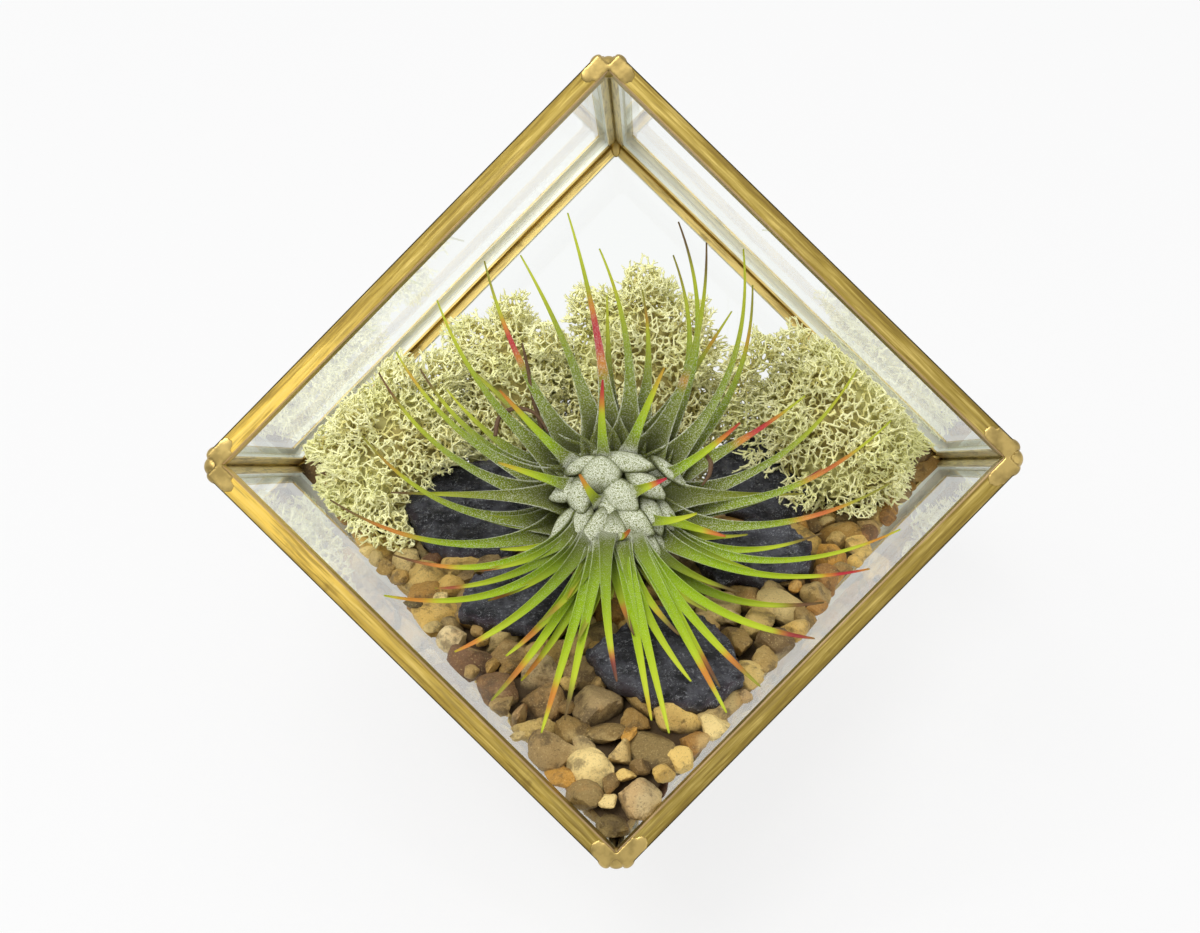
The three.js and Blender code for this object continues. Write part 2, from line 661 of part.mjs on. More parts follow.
// A leaf leans out towards the opening until nothing is in its way, or stays shorter
function settledPath(leaf) {
  for (const shrink of PLANT.sizes) {
    for (let lift = 0; lift <= PLANT.mostLean; lift += PLANT.leanStep) {
      const path = leafPath(leaf, lift, shrink);
      if (path.filter(({ gone }) => gone > PLANT.root).every(leafClear)) return path;
    }
  }
  return null;
}

// A leaf blade: a flat upper side and a keel under it, tapering to its tip
function leafBody(fullPath) {
  const each = PLANT.steps / PLANT.rings;
  const path = fullPath.filter((_, step) => step % each === 0);
  const rings = path.map((point) => {
    const { at, side, upper } = point;
    const half = leafWidth(point) / 2;
    const keel = Math.max(PLANT.thin, PLANT.keel * half);
    return [
      at.clone().addScaledVector(side, half).addScaledVector(upper, 0.2 * half),
      at.clone().addScaledVector(side, -half).addScaledVector(upper, 0.2 * half),
      at.clone().addScaledVector(upper, -keel),
    ];
  });
  const points = rings.flat().flatMap((p) => p.toArray());
  const index = [0, 1, 2];
  for (let ring = 0; ring < PLANT.rings; ring += 1) {
    for (let k = 0; k < 3; k += 1) {
      const a = 3 * ring + k;
      const b = 3 * ring + (k + 1) % 3;
      index.push(a, b + 3, b, a, a + 3, b + 3);
    }
  }
  const last = 3 * PLANT.rings;
  index.push(last, last + 2, last + 1);
  const blade = new THREE.BufferGeometry();
  blade.setAttribute('position', new THREE.Float32BufferAttribute(points, 3));
  blade.setIndex(index);
  return solid(blade);
}

// The rosette: a core of packed leaf roots that every blade stands out of
function airPlant() {
  const core = new THREE.IcosahedronGeometry(PLANT.core, 1).translate(...heartMiddle);
  const leaves = [...LONG_LEAVES.map(longLeaf), ...underLeaves(), ...HEART_LEAVES.map(heartLeaf)];
  const paths = leaves.map((leaf) => (leaf.short ? leafPath(leaf) : settledPath(leaf)));
  const blades = paths.filter((path) => path !== null).map(leafBody);
  const body = joined([solid(core), ...blades]).subtract(slateRoom);
  return piece('air_plant', mainBody(body), leafGreen);
}

const terrarium = new THREE.Group();
terrarium.add(box);
terrarium.add(gravelBed());
slates.forEach((slate) => terrarium.add(piece(slate.name, slateBody(slate), slateStone)));
mossPieces().forEach((clump) => terrarium.add(clump));
terrarium.add(airPlant());

export default terrarium;
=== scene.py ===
"""Glass plant terrarium: a tilted cube of glass in brass channel, planted with an air plant."""
from __future__ import annotations

import logging
import math
from dataclasses import dataclass, field, replace
from enum import Enum
from typing import Iterable, Sequence

import bmesh
import bpy
import numpy as np
from mathutils import Euler, Matrix, Vector, kdtree, noise


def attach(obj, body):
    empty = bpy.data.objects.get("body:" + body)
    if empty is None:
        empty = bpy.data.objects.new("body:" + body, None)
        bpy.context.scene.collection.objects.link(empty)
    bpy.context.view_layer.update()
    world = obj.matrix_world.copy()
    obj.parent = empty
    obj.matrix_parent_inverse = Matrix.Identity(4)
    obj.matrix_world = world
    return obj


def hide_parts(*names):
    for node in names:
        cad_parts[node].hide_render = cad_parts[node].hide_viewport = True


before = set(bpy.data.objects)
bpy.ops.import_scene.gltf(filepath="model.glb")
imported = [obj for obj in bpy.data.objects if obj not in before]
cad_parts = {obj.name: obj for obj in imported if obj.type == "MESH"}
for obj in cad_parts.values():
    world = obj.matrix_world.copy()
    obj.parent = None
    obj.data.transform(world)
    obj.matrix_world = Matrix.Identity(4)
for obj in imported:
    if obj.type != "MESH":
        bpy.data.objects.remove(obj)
log = logging.getLogger("terrarium")

MM = 0.001  # metres in a millimetre

Triple = tuple[float, float, float]
Body = tuple[np.ndarray, np.ndarray, dict]  # points, faces and the numbers at each point

# The glass box, in the cube's own frame: x towards the open face, cut corner at the origin
EDGE = 100.0
FOOT_CUT = 42.0
BRASS = 0.45
GLASS = 1.8
GAP = 0.3
FACE = GLASS + 2 * GAP + 2 * BRASS
GLASS_DEPTH = BRASS + GAP + GLASS + GAP

AXIS_X = np.array([0.0, -2.0, math.sqrt(2)]) / math.sqrt(6)
AXIS_Y = np.array([math.sqrt(3), 1.0, math.sqrt(2)]) / math.sqrt(6)
AXIS_Z = np.array([-math.sqrt(3), 1.0, math.sqrt(2)]) / math.sqrt(6)
TO_WORLD = np.stack([AXIS_X, AXIS_Y, AXIS_Z], axis=1)
CUT_CORNER = np.array([0.0, 0.0, -FOOT_CUT / math.sqrt(3)])

# Directions of someone who looks straight into the open face
OUT = AXIS_X
RIGHT = np.array([1.0, 0.0, 0.0])
UP = np.cross(OUT, RIGHT)
VIEWER = np.stack([RIGHT, UP, OUT])

# The gravel's surface
BED_TOP, BED_CREST, BED_FALL = 45.0, -35.0, 0.0025


def to_world(point: Sequence[float]) -> np.ndarray:
    """A point of the cube's frame in the part's frame, in mm."""
    return TO_WORLD @ np.asarray(point, float) + CUT_CORNER


def turned(direction: Sequence[float]) -> np.ndarray:
    """A direction of the cube's frame in the part's frame."""
    return TO_WORLD @ np.asarray(direction, float)


def bed_height(y: np.ndarray | float) -> np.ndarray | float:
    """Height of the gravel's surface at a place along Y, in mm."""
    return BED_TOP - BED_FALL * (y - BED_CREST) ** 2


def unit(v: np.ndarray) -> np.ndarray:
    """Vectors scaled to length one, along the last axis."""
    return v / np.maximum(np.linalg.norm(v, axis=-1, keepdims=True), 1e-9)


def smoothstep(x: np.ndarray | float, low: float, high: float) -> np.ndarray | float:
    """0 below low, 1 above high and smooth between them."""
    t = np.clip((x - low) / (high - low), 0.0, 1.0)
    return t * t * (3 - 2 * t)


def to_matrix(rows: Iterable[Iterable[float]]) -> Matrix:
    """A Blender matrix from rows of numbers."""
    return Matrix([list(row) for row in rows])


class Repeatable:
    """Random numbers that the part's source draws too, the same for the same seed."""

    def __init__(self, seed: int) -> None:
        """Start from a seed."""
        self.state = seed & 0xFFFFFFFF

    def __call__(self) -> float:
        """Draw the next number.

        Returns:
            The number, from 0 to 1.
        """
        mask = 0xFFFFFFFF
        self.state = (self.state + 0x6D2B79F5) & mask
        mixed = ((self.state ^ (self.state >> 15)) * (self.state | 1)) & mask
        mixed ^= (mixed + (((mixed ^ (mixed >> 7)) * (mixed | 61)) & mask)) & mask
        return ((mixed ^ (mixed >> 14)) & mask) / 4294967296


@dataclass(frozen=True)
class Wall:
    """The inner face of one pane, or the plane of the open side."""

    side: str
    normal: Triple
    corner: Triple
    depth: float = GLASS_DEPTH

    @property
    def inward(self) -> np.ndarray:
        """The direction into the box."""
        return unit(turned(self.normal))

    def distance(self, points: np.ndarray) -> np.ndarray:
        """How far points lie inside the plane, in mm."""
        return (points - to_world(self.corner)) @ self.inward - self.depth


PANES = (
    Wall("back", (1, 0, 0), (0, EDGE, EDGE)),
    Wall("lower_left", (0, 1, 0), (0, 0, EDGE)),
    Wall("lower_right", (0, 0, 1), (0, EDGE, 0)),
    Wall("upper_right", (0, -1, 0), (0, EDGE, EDGE)),
    Wall("upper_left", (0, 0, -1), (0, EDGE, EDGE)),
    Wall("base", (1, 1, 1), (FOOT_CUT, 0, 0)),
)
OPEN_SIDE = Wall("open", (-1, 0, 0), (EDGE, EDGE, EDGE), FACE)


def pane_distance(points: np.ndarray) -> np.ndarray:
    """Distance to the nearest pane of each point, in mm."""
    return np.min([wall.distance(points) for wall in PANES], axis=0)


def pressed_inside(points: np.ndarray, walls: Iterable[Wall], room: float) -> np.ndarray:
    """Press points that come too near to some walls back inside.

    Args:
        points: the points.
        walls: the walls.
        room: the least distance to them, in mm.

    Returns:
        The points.
    """
    for wall in walls:
        over = np.minimum(wall.distance(points) - room, 0.0)
        points = points - over[:, None] * wall.inward
    return points


# ---------------------------------------------------------------------------
class Socket:
    """A shader socket; arithmetic on it adds Math nodes."""

    def __init__(self, shader: Shader, socket: bpy.types.NodeSocket) -> None:
        """Wrap one output socket of a shader's node."""
        self.shader, self.socket = shader, socket

    def _math(self, operation: str, *values: Socket | float) -> Socket:
        """A Math node on some values.

        Args:
            operation: the node's operation.
            values: its inputs, in order.

        Returns:
            The node's output.
        """
        return self.shader.node("Math", {"operation": operation}, dict(enumerate(values)))

    def __add__(self, other: Socket | float) -> Socket:
        """Sum."""
        return self._math("ADD", self, other)

    def __sub__(self, other: Socket | float) -> Socket:
        """Difference."""
        return self._math("SUBTRACT", self, other)

    def __rsub__(self, other: float) -> Socket:
        """Difference from a number."""
        return self._math("SUBTRACT", other, self)

    def __mul__(self, other: Socket | float) -> Socket:
        """Product."""
        return self._math("MULTIPLY", self, other)

    def __pow__(self, other: float) -> Socket:
        """Power."""
        return self._math("POWER", self, other)

    def __abs__(self) -> Socket:
        """Absolute value."""
        return self._math("ABSOLUTE", self)

    __radd__ = __add__
    __rmul__ = __mul__

    def between(self, low: float, high: float, to: tuple[float, float] = (0.0, 1.0)) -> Socket:
        """The value mapped smoothly from one range to another.

        Args:
            low: where the range starts; it may lie above high.
            high: where it ends.
            to: the result's two ends.

        Returns:
            The mapped value.
        """
        flip = low > high
        ends = (high, low) if flip else (low, high)
        goal = to[::-1] if flip else to
        return self.shader.node(
            "MapRange", {"interpolation_type": "SMOOTHSTEP"},
            {0: self, 1: ends[0], 2: ends[1], 3: goal[0], 4: goal[1]},
        )


class Shader:
    """The node tree of one material."""

    def __init__(self, name: str) -> None:
        """Make an empty material.

        Args:
            name: the material's name.
        """
        self.material = bpy.data.materials.new(name)
        self.material.use_nodes = True
        self.tree = self.material.node_tree
        self.tree.nodes.clear()

    def node(
        self, kind: str, settings: dict | None = None, values: dict | None = None,
        output: int | str = 0,
    ) -> Socket:
        """Add a node.

        Args:
            kind: its type, without ShaderNode.
            settings: attributes that are set first; stops are a ramp's (place, colour) pairs.
            values: numbers, tuples or sockets for its inputs, by name or number.
            output: the output to return.

        Returns:
            The output, as a socket.
        """
        made = self.tree.nodes.new("ShaderNode" + kind)
        for key, value in (settings or {}).items():
            if key == "stops":
                self._set_stops(made.color_ramp, value)
            else:
                setattr(made, key, value)
        for key, value in (values or {}).items():
            self._feed(made.inputs[key], value)
        return Socket(self, made.outputs[output])

    @staticmethod
    def _set_stops(ramp: bpy.types.ColorRamp, stops: Sequence[tuple]) -> None:
        """Give a ramp its stops.

        Args:
            ramp: the ramp.
            stops: its (place, colour) pairs.
        """
        while len(ramp.elements) < len(stops):
            ramp.elements.new(0.5)
        for element, (place, colour) in zip(ramp.elements, stops):
            element.position, element.color = place, (*colour, 1.0)

    def _feed(self, socket: bpy.types.NodeSocket, value: object) -> None:
        """Link a socket or set its value.

        Args:
            socket: the input.
            value: a socket, a number or a tuple.
        """
        if isinstance(value, Socket):
            self.tree.links.new(value.socket, socket)
        elif isinstance(value, tuple) and len(value) == 3 and socket.type == "RGBA":
            socket.default_value = (*value, 1.0)
        else:
            socket.default_value = value

    def place(self) -> Socket:
        """Coordinates in the part's frame, in metres."""
        return self.node("TexCoord", output="Object")

    def noise(self, scale: float, detail: float = 3.0, rough: float = 0.55,
              vector: Socket | None = None) -> Socket:
        """Noise from 0 to 1.

        Args:
            scale: its scale, per metre.
            detail: number of octaves.
            rough: strength of the finer ones.
            vector: coordinates, or the part's own.

        Returns:
            The noise.
        """
        return self.node("TexNoise", None, {
            "Vector": vector or self.place(), "Scale": scale, "Detail": detail, "Roughness": rough,
        })

    def mix(self, share: Socket | float, a: object, b: object, blend: str = "MIX") -> Socket:
        """Mix two colours.

        Args:
            share: the second colour's share.
            a: the first colour.
            b: the second colour.
            blend: how they're mixed.

        Returns:
            The colour.
        """
        return self.node("Mix", {"data_type": "RGBA", "blend_type": blend},
                         {0: share, 6: a, 7: b}, output=2)

    def layered(self, colour: object, *layers: tuple) -> Socket:
        """Lay colours over one another.

        Args:
            colour: the lowest one.
            layers: (share, colour) pairs, lowest first.

        Returns:
            The colour.
        """
        for share, over in layers:
            colour = self.mix(share, colour, over)
        return colour

    def ramp(self, value: Socket, stops: Sequence[tuple]) -> Socket:
        """A colour from a value, by a ramp's stops."""
        return self.node("ValToRGB", {"stops": stops}, {0: value})

    def drawn(self, name: str) -> Socket:
        """A number that the mesh carries at each of its points."""
        return self.node("Attribute", {"attribute_name": name}, output="Fac")

    def bump(self, height: Socket, distance: float, strength: float = 1.0) -> Socket:
        """A normal bumped by a height.

        Args:
            height: the height, from 0 to 1.
            distance: the relief's depth, in mm.
            strength: how much of it counts.

        Returns:
            The normal.
        """
        return self.node("Bump", None, {
            "Strength": strength, "Distance": distance * MM, "Height": height,
        })

    def finish(self, shader: Socket) -> bpy.types.Material:
        """Send a shader to the surface.

        Args:
            shader: the shader.

        Returns:
            The material.
        """
        made = self.tree.nodes.new("ShaderNodeOutputMaterial")
        self.tree.links.new(shader.socket, made.inputs["Surface"])
        return self.material

    def surface(self, **values: object) -> Socket:
        """A Principled shader; underscores in the names of its inputs stand for spaces."""
        return self.node("BsdfPrincipled", None,
                         {key.replace("_", " "): value for key, value in values.items()})


class Along(Enum):
    """The cube's axis that a channel runs along."""

    X = (1.0, 0.0, 0.0)
    Y = (0.0, 1.0, 0.0)
    Z = (0.0, 0.0, 1.0)
    SLANT = (0.6, 0.6, 0.6)


@dataclass(frozen=True)
class BrassFinish:
    """Satin brass, drawn lengthwise: olive, with painted light that turns it golden towards the
    left.
    """

    name: str
    along: Along
    sides: tuple[str, ...]
    gold: Triple = (0.76, 0.52, 0.10)
    olive: Triple = (0.31, 0.225, 0.048)
    light: Triple = (0.72, 0.56, 0.19)
    brown: Triple = (0.17, 0.11, 0.030)
    dark: Triple = (0.05, 0.04, 0.015)
    copper_glint: Triple = (0.60, 0.42, 0.25)
    slot_reflection: Triple = (0.80, 0.81, 0.74)

    def build(self) -> bpy.types.Material:
        """Make the material.

        Returns:
            The material.
        """
        s = Shader(f"brass_{self.name}")
        drawn = self._drawn_out(s)
        streaks, bands = s.noise(2100, 4, 0.6, drawn), s.noise(620, 2, 0.5, drawn)
        blotches, stains = s.noise(70, 4, 0.6), s.noise(300, 3, 0.5)
        across_box = s.node("SeparateXYZ", None, {0: s.place()}, output="X")
        height = s.node("SeparateXYZ", None, {0: s.place()}, output="Z")
        # Painted light: the brass turns from olive to gold towards the left, where the key light
        # falls.
        leftness = across_box + height * 0.35 + (blotches - 0.5) * 0.05
        golden = leftness.between(0.016, -0.040)
        colour = s.layered(
            self.olive, (golden, self.gold), (streaks.between(0.50, 0.70) * 0.48, self.light),
            (streaks.between(0.52, 0.36) * 0.58, self.brown),
            (bands.between(0.54, 0.70) * 0.32, self.brown),
            (stains.between(0.62, 0.76) * 0.45, self.brown))
        rough = 0.34 + streaks * 0.18 + blotches * 0.08
        relief = s.bump(streaks * 1.1 + bands * 0.5 + blotches * 1.4, 0.06, 0.7)
        if len(self.sides) == 1:
            across = self._depth(s, self.sides[0]) * (1 / FACE)
            front = self._depth(s, "open").between(0.7, 0.2)
            # Painted highlight and painted shade across a rim's front face: a light band along its
            # middle, a darker band and a dark outer edge, and a copper glint along its inner edge.
            painted_highlight = across.between(0.44, 0.58) * across.between(0.78, 0.66)
            colour = s.layered(
                colour, (painted_highlight * 0.18, self.light),
                (across.between(0.36, 0.16) * 0.35, self.brown),
                (across.between(0.10, 0.03) * front, self.dark),
                (across.between(0.88, 0.96) * front * 0.7, self.copper_glint))
            return s.finish(s.surface(Base_Color=colour, Metallic=1.0, Roughness=rough,
                                      Normal=relief))
        # Painted reflection: the faces that hold a pane are pale and not metallic.
        slot = self._in_slot(s)
        colour = s.mix(slot, colour, self.slot_reflection)
        return s.finish(s.surface(Base_Color=colour, Metallic=1.0 - slot, Roughness=rough,
                                  Normal=relief))

    def _drawn_out(self, s: Shader) -> Socket:
        """Coordinates that hardly change along the channel.

        Args:
            s: the shader.

        Returns:
            The coordinates, in the cube's frame.
        """
        basis = to_matrix(TO_WORLD.T)
        in_cube = s.node("VectorRotate", {"rotation_type": "EULER_XYZ"},
                         {"Vector": s.place(), "Rotation": tuple(basis.to_euler())})
        stretch = tuple(1.0 - 0.95 * share for share in self.along.value)
        return s.node("VectorMath", {"operation": "MULTIPLY"}, {0: in_cube, 1: stretch})

    @staticmethod
    def _depth(s: Shader, side: str) -> Socket:
        """How far a place lies inside a pane's outer plane.

        Args:
            s: the shader.
            side: the pane's side.

        Returns:
            The depth, in mm.
        """
        wall = next(wall for wall in (*PANES, OPEN_SIDE) if wall.side == side)
        inward = tuple(float(value) for value in wall.inward)
        along = s.node("VectorMath", {"operation": "DOT_PRODUCT"}, {0: s.place(), 1: inward},
                       output="Value")
        return along * (1 / MM) - float(to_world(wall.corner) @ wall.inward)

    def _in_slot(self, s: Shader) -> Socket:
        """Find the faces that hold a pane; they get a painted reflection, pale like the pane's
        edge.

        Args:
            s: the shader.

        Returns:
            1 on those faces and 0 elsewhere.
        """
        first, second = (self._depth(s, side) for side in self.sides)
        inner, outer, far, near = BRASS, FACE - BRASS, 0.1, 0.04
        masks = []
        for depth, other in ((first, second), (second, first)):
            inside = (depth.between(inner - far, inner - near)
                      * depth.between(outer + far, outer + near))
            masks.append(inside * other.between(FACE, FACE + 0.2))
        return masks[0] + masks[1]


@dataclass(frozen=True)
class SolderFinish:
    """Smooth brass-coloured solder, brighter than the strips."""

    bright: Triple = (0.52, 0.38, 0.13)
    dull: Triple = (0.29, 0.21, 0.07)

    def build(self) -> bpy.types.Material:
        """Make the material.

        Returns:
            The material.
        """
        s = Shader("solder")
        patches = s.noise(330, 3, 0.5)
        colour = s.mix(patches.between(0.4, 0.7), self.bright, self.dull)
        return s.finish(s.surface(Base_Color=colour, Metallic=1.0,
                                  Roughness=0.30 + patches * 0.2,
                                  Normal=s.bump(s.noise(700, 2), 0.06, 0.5)))


@dataclass(frozen=True)
class GlassFinish:
    """Clear glass: it mirrors more the flatter it's seen."""

    tint: Triple = (0.988, 0.996, 0.99)
    least: float = 0.02
    grazing: float = 0.42

    def build(self) -> bpy.types.Material:
        """Make the material.

        Returns:
            The material.
        """
        s = Shader("clear_glass")
        wavy = s.bump(s.noise(25, 2), 0.02, 0.4)
        flat_on = s.node("LayerWeight", None, {"Blend": 0.5, "Normal": wavy}, output="Facing")
        mirror = flat_on ** 4.0 * self.grazing + self.least
        clear = s.node("BsdfTransparent", None, {"Color": self.tint})
        gloss = s.node("BsdfGlossy", None, {"Color": (1.0, 1.0, 1.0), "Roughness": 0.0,
                                            "Normal": wavy})
        return s.finish(s.node("MixShader", None, {0: mirror, 1: clear, 2: gloss}))


@dataclass(frozen=True)
class GravelFinish:
    """River stones, each in its own colour: tan, honey, cream, brown and grey-olive."""

    palette: tuple = (
        (0.00, (0.36, 0.20, 0.045)), (0.08, (0.68, 0.44, 0.11)), (0.16, (0.15, 0.085, 0.025)),
        (0.25, (0.92, 0.70, 0.28)), (0.34, (0.24, 0.155, 0.045)), (0.42, (0.58, 0.29, 0.04)),
        (0.50, (0.16, 0.075, 0.035)), (0.58, (0.46, 0.30, 0.085)), (0.67, (0.84, 0.58, 0.17)),
        (0.76, (0.12, 0.088, 0.028)), (0.84, (0.56, 0.36, 0.11)), (0.92, (0.29, 0.19, 0.07)),
        (1.00, (0.76, 0.59, 0.30)),
    )
    cream: Triple = (0.86, 0.67, 0.29)
    umber: Triple = (0.050, 0.027, 0.008)
    rust: Triple = (0.46, 0.21, 0.04)

    def build(self) -> bpy.types.Material:
        """Make the material.

        Returns:
            The material.
        """
        s = Shader("gravel")
        mottled = s.noise(260, 6, 0.66)
        clouds = s.noise(110, 3, 0.55)
        grains = s.noise(2800, 4, 0.7)
        colour = s.layered(
            s.ramp(s.drawn("tint"), self.palette),
            (clouds.between(0.54, 0.68) * 0.35, self.cream),
            (clouds.between(0.44, 0.32) * 0.35, self.rust),
            (mottled.between(0.50, 0.36) * 0.6, self.umber),
            (grains.between(0.56, 0.70) * 0.4, self.cream),
            (grains.between(0.46, 0.32) * 0.5, self.umber),
            # Painted shade: stones darken towards umber deep in the bed and away from the glass
            (s.drawn("shade") * 0.95, self.umber))
        relief = mottled * 1.2 + grains * 0.5
        return s.finish(s.surface(Base_Color=colour, Roughness=0.5 + mottled * 0.3,
                                  Normal=s.bump(relief, 0.7, 1.0)))


@dataclass(frozen=True)
class SlateFinish:
    """Split slate: dark blue-grey with pale scratches and flecks, plum on its broken rims."""

    dark: Triple = (0.018, 0.018, 0.022)
    grey: Triple = (0.125, 0.127, 0.148)
    fleck: Triple = (0.46, 0.47, 0.50)
    plum: Triple = (0.075, 0.045, 0.060)

    def build(self) -> bpy.types.Material:
        """Make the material.

        Returns:
            The material.
        """
        s = Shader("slate")
        layers = s.noise(180, 7, 0.68)
        cracks = s.node("TexVoronoi", {"feature": "DISTANCE_TO_EDGE"},
                        {"Vector": s.place(), "Scale": 420})
        flecks = s.noise(2600, 5, 0.8)
        long_way = s.node("VectorMath", {"operation": "MULTIPLY"},
                          {0: s.place(), 1: (0.35, 1.0, 1.0)})
        scratched = s.noise(900, 6, 0.75, long_way)
        broken = s.drawn("edge").between(0.86, 1.0) * s.noise(260, 3).between(0.4, 0.62)
        pale = flecks.between(0.50, 0.62) * scratched.between(0.46, 0.58)
        colour = s.layered(
            self.dark, (layers.between(0.40, 0.60), self.grey), (broken * 0.7, self.plum),
            (pale * 0.95, self.fleck), (cracks.between(0.05, 0.0) * 0.35, self.dark))
        relief = layers * 1.6 + scratched * 1.3 + flecks * 0.4
        return s.finish(s.surface(Base_Color=colour, Roughness=0.4 + layers * 0.3,
                                  Normal=s.bump(relief, 1.5, 1.0)))


@dataclass(frozen=True)
class MossFinish:
    """Dried reindeer moss: cream to yellow-green outside, with painted shade that turns it
    olive-brown deep in the sponge.
    """

    core: Triple = (0.34, 0.28, 0.085)
    shade: Triple = (0.78, 0.70, 0.27)
    stem: Triple = (0.95, 0.89, 0.40)
    tip: Triple = (1.0, 0.98, 0.58)
    green: Triple = (0.88, 0.88, 0.38)

    def build(self) -> bpy.types.Material:
        """Make the material.

        Returns:
            The material.
        """
        s = Shader("dried_moss")
        patches = s.noise(90, 3, 0.5)
        # Painted shade: the colour darkens from the tips to the core the deeper a strand lies.
        stops = ((0.0, self.core), (0.15, self.shade), (0.4, self.stem), (0.85, self.tip))
        colour = s.layered(
            s.ramp(s.drawn("depth"), stops), (patches.between(0.45, 0.66) * 0.55, self.green),
            (patches.between(0.42, 0.3) * 0.3, self.stem))
        return s.finish(s.surface(Base_Color=colour, Roughness=0.9,
                                  Normal=s.bump(s.noise(5000, 2), 0.08, 0.5)))


@dataclass(frozen=True)
class LeafFinish:
    """Air plant leaves: green under a silvery felt, lime, red and brown towards the tips, with
    painted shade near the heart.
    """

    deep: Triple = (0.145, 0.17, 0.018)
    lime: Triple = (0.26, 0.40, 0.002)
    yellow: Triple = (0.52, 0.54, 0.05)
    red: Triple = (0.42, 0.035, 0.045)
    orange: Triple = (0.50, 0.20, 0.035)
    brown: Triple = (0.11, 0.05, 0.035)
    felt: Triple = (0.76, 0.78, 0.66)
    painted_shade: Triple = (0.045, 0.05, 0.015)

    def build(self) -> bpy.types.Material:
        """Make the material.

        Returns:
            The material.
        """
        s = Shader("leaves")
        along, across = s.drawn("along"), s.drawn("across")
        lime, flush, hoar = s.drawn("lime"), s.drawn("flush"), s.drawn("hoar")
        scales, grains = s.noise(4600, 2, 0.7), s.noise(4900, 2, 0.6)
        fibres = s.noise(1000, 3, 0.6)
        speckled = scales.between(0.52, 0.60) * hoar.between(0.0, 0.7)
        rim = abs(across).between(0.84, 0.97) * along.between(0.8, 0.3) * (1.0 - lime * 0.6)
        thick = hoar.between(0.55, 0.95)
        colour = s.layered(
            self.deep, (lime + (fibres - 0.5) * 0.4, self.lime),
            (along.between(0.50, 0.92) * 0.65, self.yellow),
            (flush.between(0.05, 0.55), self.orange), (flush.between(0.5, 0.95), self.red),
            (s.drawn("dry") * along.between(0.80, 0.94), self.brown),
            (speckled * 0.62, self.felt), (rim * scales.between(0.38, 0.54) * 0.8, self.felt),
            (thick * grains.between(0.38, 0.60) * 0.86, self.felt),
            # Painted shade, deep between the leaves near the heart
            (s.drawn("painted_shade") * 0.85, self.painted_shade))
        relief = scales * hoar * 0.9 + grains * thick * 0.9 + fibres * 0.5
        return s.finish(s.surface(Base_Color=colour, Roughness=0.5 + hoar * 0.35,
                                  Specular_IOR_Level=0.14, Normal=s.bump(relief, 0.14, 0.8)))


@dataclass(frozen=True)
class FloorFinish:
    """Pale matt paper, lit evenly from behind like a light table."""

    pale: Triple = (0.10, 0.10, 0.101)
    glow: float = 0.81

    def build(self) -> bpy.types.Material:
        """Make the material.

        Returns:
            The material.
        """
        s = Shader("floor")
        colour = s.mix(s.noise(3, 2), self.pale, tuple(0.985 * c for c in self.pale))
        return s.finish(s.surface(Base_Color=colour, Roughness=0.9,
                                  Emission_Color=(1.0, 1.0, 1.0), Emission_Strength=self.glow))


# ---------------------------------------------------------------------------
def add_object(name: str, data: bpy.types.ID) -> bpy.types.Object:
    """Put a new object into the scene.

    Args:
        name: its name.
        data: its mesh, light or camera.

    Returns:
        The object.
    """
    made = bpy.data.objects.new(name, data)
    bpy.context.scene.collection.objects.link(made)
    return made


def set_drawn(mesh: bpy.types.Mesh, drawn: dict[str, np.ndarray]) -> None:
    """Give a mesh numbers at each of its points.

    Args:
        mesh: the mesh.
        drawn: the numbers, by name.
    """
    for key, values in drawn.items():
        layer = mesh.attributes.new(key, "FLOAT", "POINT")
        layer.data.foreach_set("value", np.asarray(values, np.float32).ravel())


def to_triangles(quads: np.ndarray) -> np.ndarray:
    """Faces of four corners split into triangles."""
    return np.concatenate([quads[:, [0, 1, 2]], quads[:, [0, 2, 3]]])


def make_mesh(
    name: str, points: np.ndarray, faces: np.ndarray, drawn: dict[str, np.ndarray] | None = None,
    smooth: bool = True,
) -> bpy.types.Object:
    """Make a mesh object from arrays.

    Args:
        name: the object's name.
        points: its points, in mm.
        faces: point numbers of its faces, all with as many corners.
        drawn: numbers at each point, by name.
        smooth: whether it's shaded smooth.

    Returns:
        The object.
    """
    mesh = bpy.data.meshes.new(name)
    mesh.vertices.add(len(points))
    mesh.vertices.foreach_set("co", (np.asarray(points) * MM).astype(np.float32).ravel())
    mesh.loops.add(faces.size)
    mesh.loops.foreach_set("vertex_index", faces.astype(np.int32).ravel())
    mesh.polygons.add(len(faces))
    starts = np.arange(0, faces.size, faces.shape[1], dtype=np.int32)
    mesh.polygons.foreach_set("loop_start", starts)
    mesh.polygons.foreach_set("use_smooth", np.full(len(faces), smooth))
    set_drawn(mesh, drawn or {})
    mesh.update(calc_edges=True)
    mesh.validate()
    return add_object(name, mesh)


def join_parts(parts: Iterable[Body]) -> tuple:
    """Join several sets of points, faces and drawn numbers into one.

    Args:
        parts: the sets.

    Returns:
        The joined set.
    """
    points, faces, drawn, start = [], [], {}, 0
    for some_points, some_faces, some_drawn in parts:
        points.append(some_points)
        faces.append(some_faces + start)
        start += len(some_points)
        for key, values in some_drawn.items():
            drawn.setdefault(key, []).append(values)
    joined = {key: np.concatenate(values) for key, values in drawn.items()}
    return np.concatenate(points), np.concatenate(faces), joined


def install(piece: bpy.types.Object, slot: str, material: bpy.types.Material,
            *nodes: str) -> bpy.types.Object:
    """Dress a new piece and let it stand for some nodes.

    Args:
        piece: the new piece.
        slot: not used.
        material: its material.
        nodes: the nodes that it stands for.

    Returns:
        The piece.
    """
    piece.data.materials.append(material)
    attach(piece, "root")
    if nodes:
        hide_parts(*nodes)
    return piece


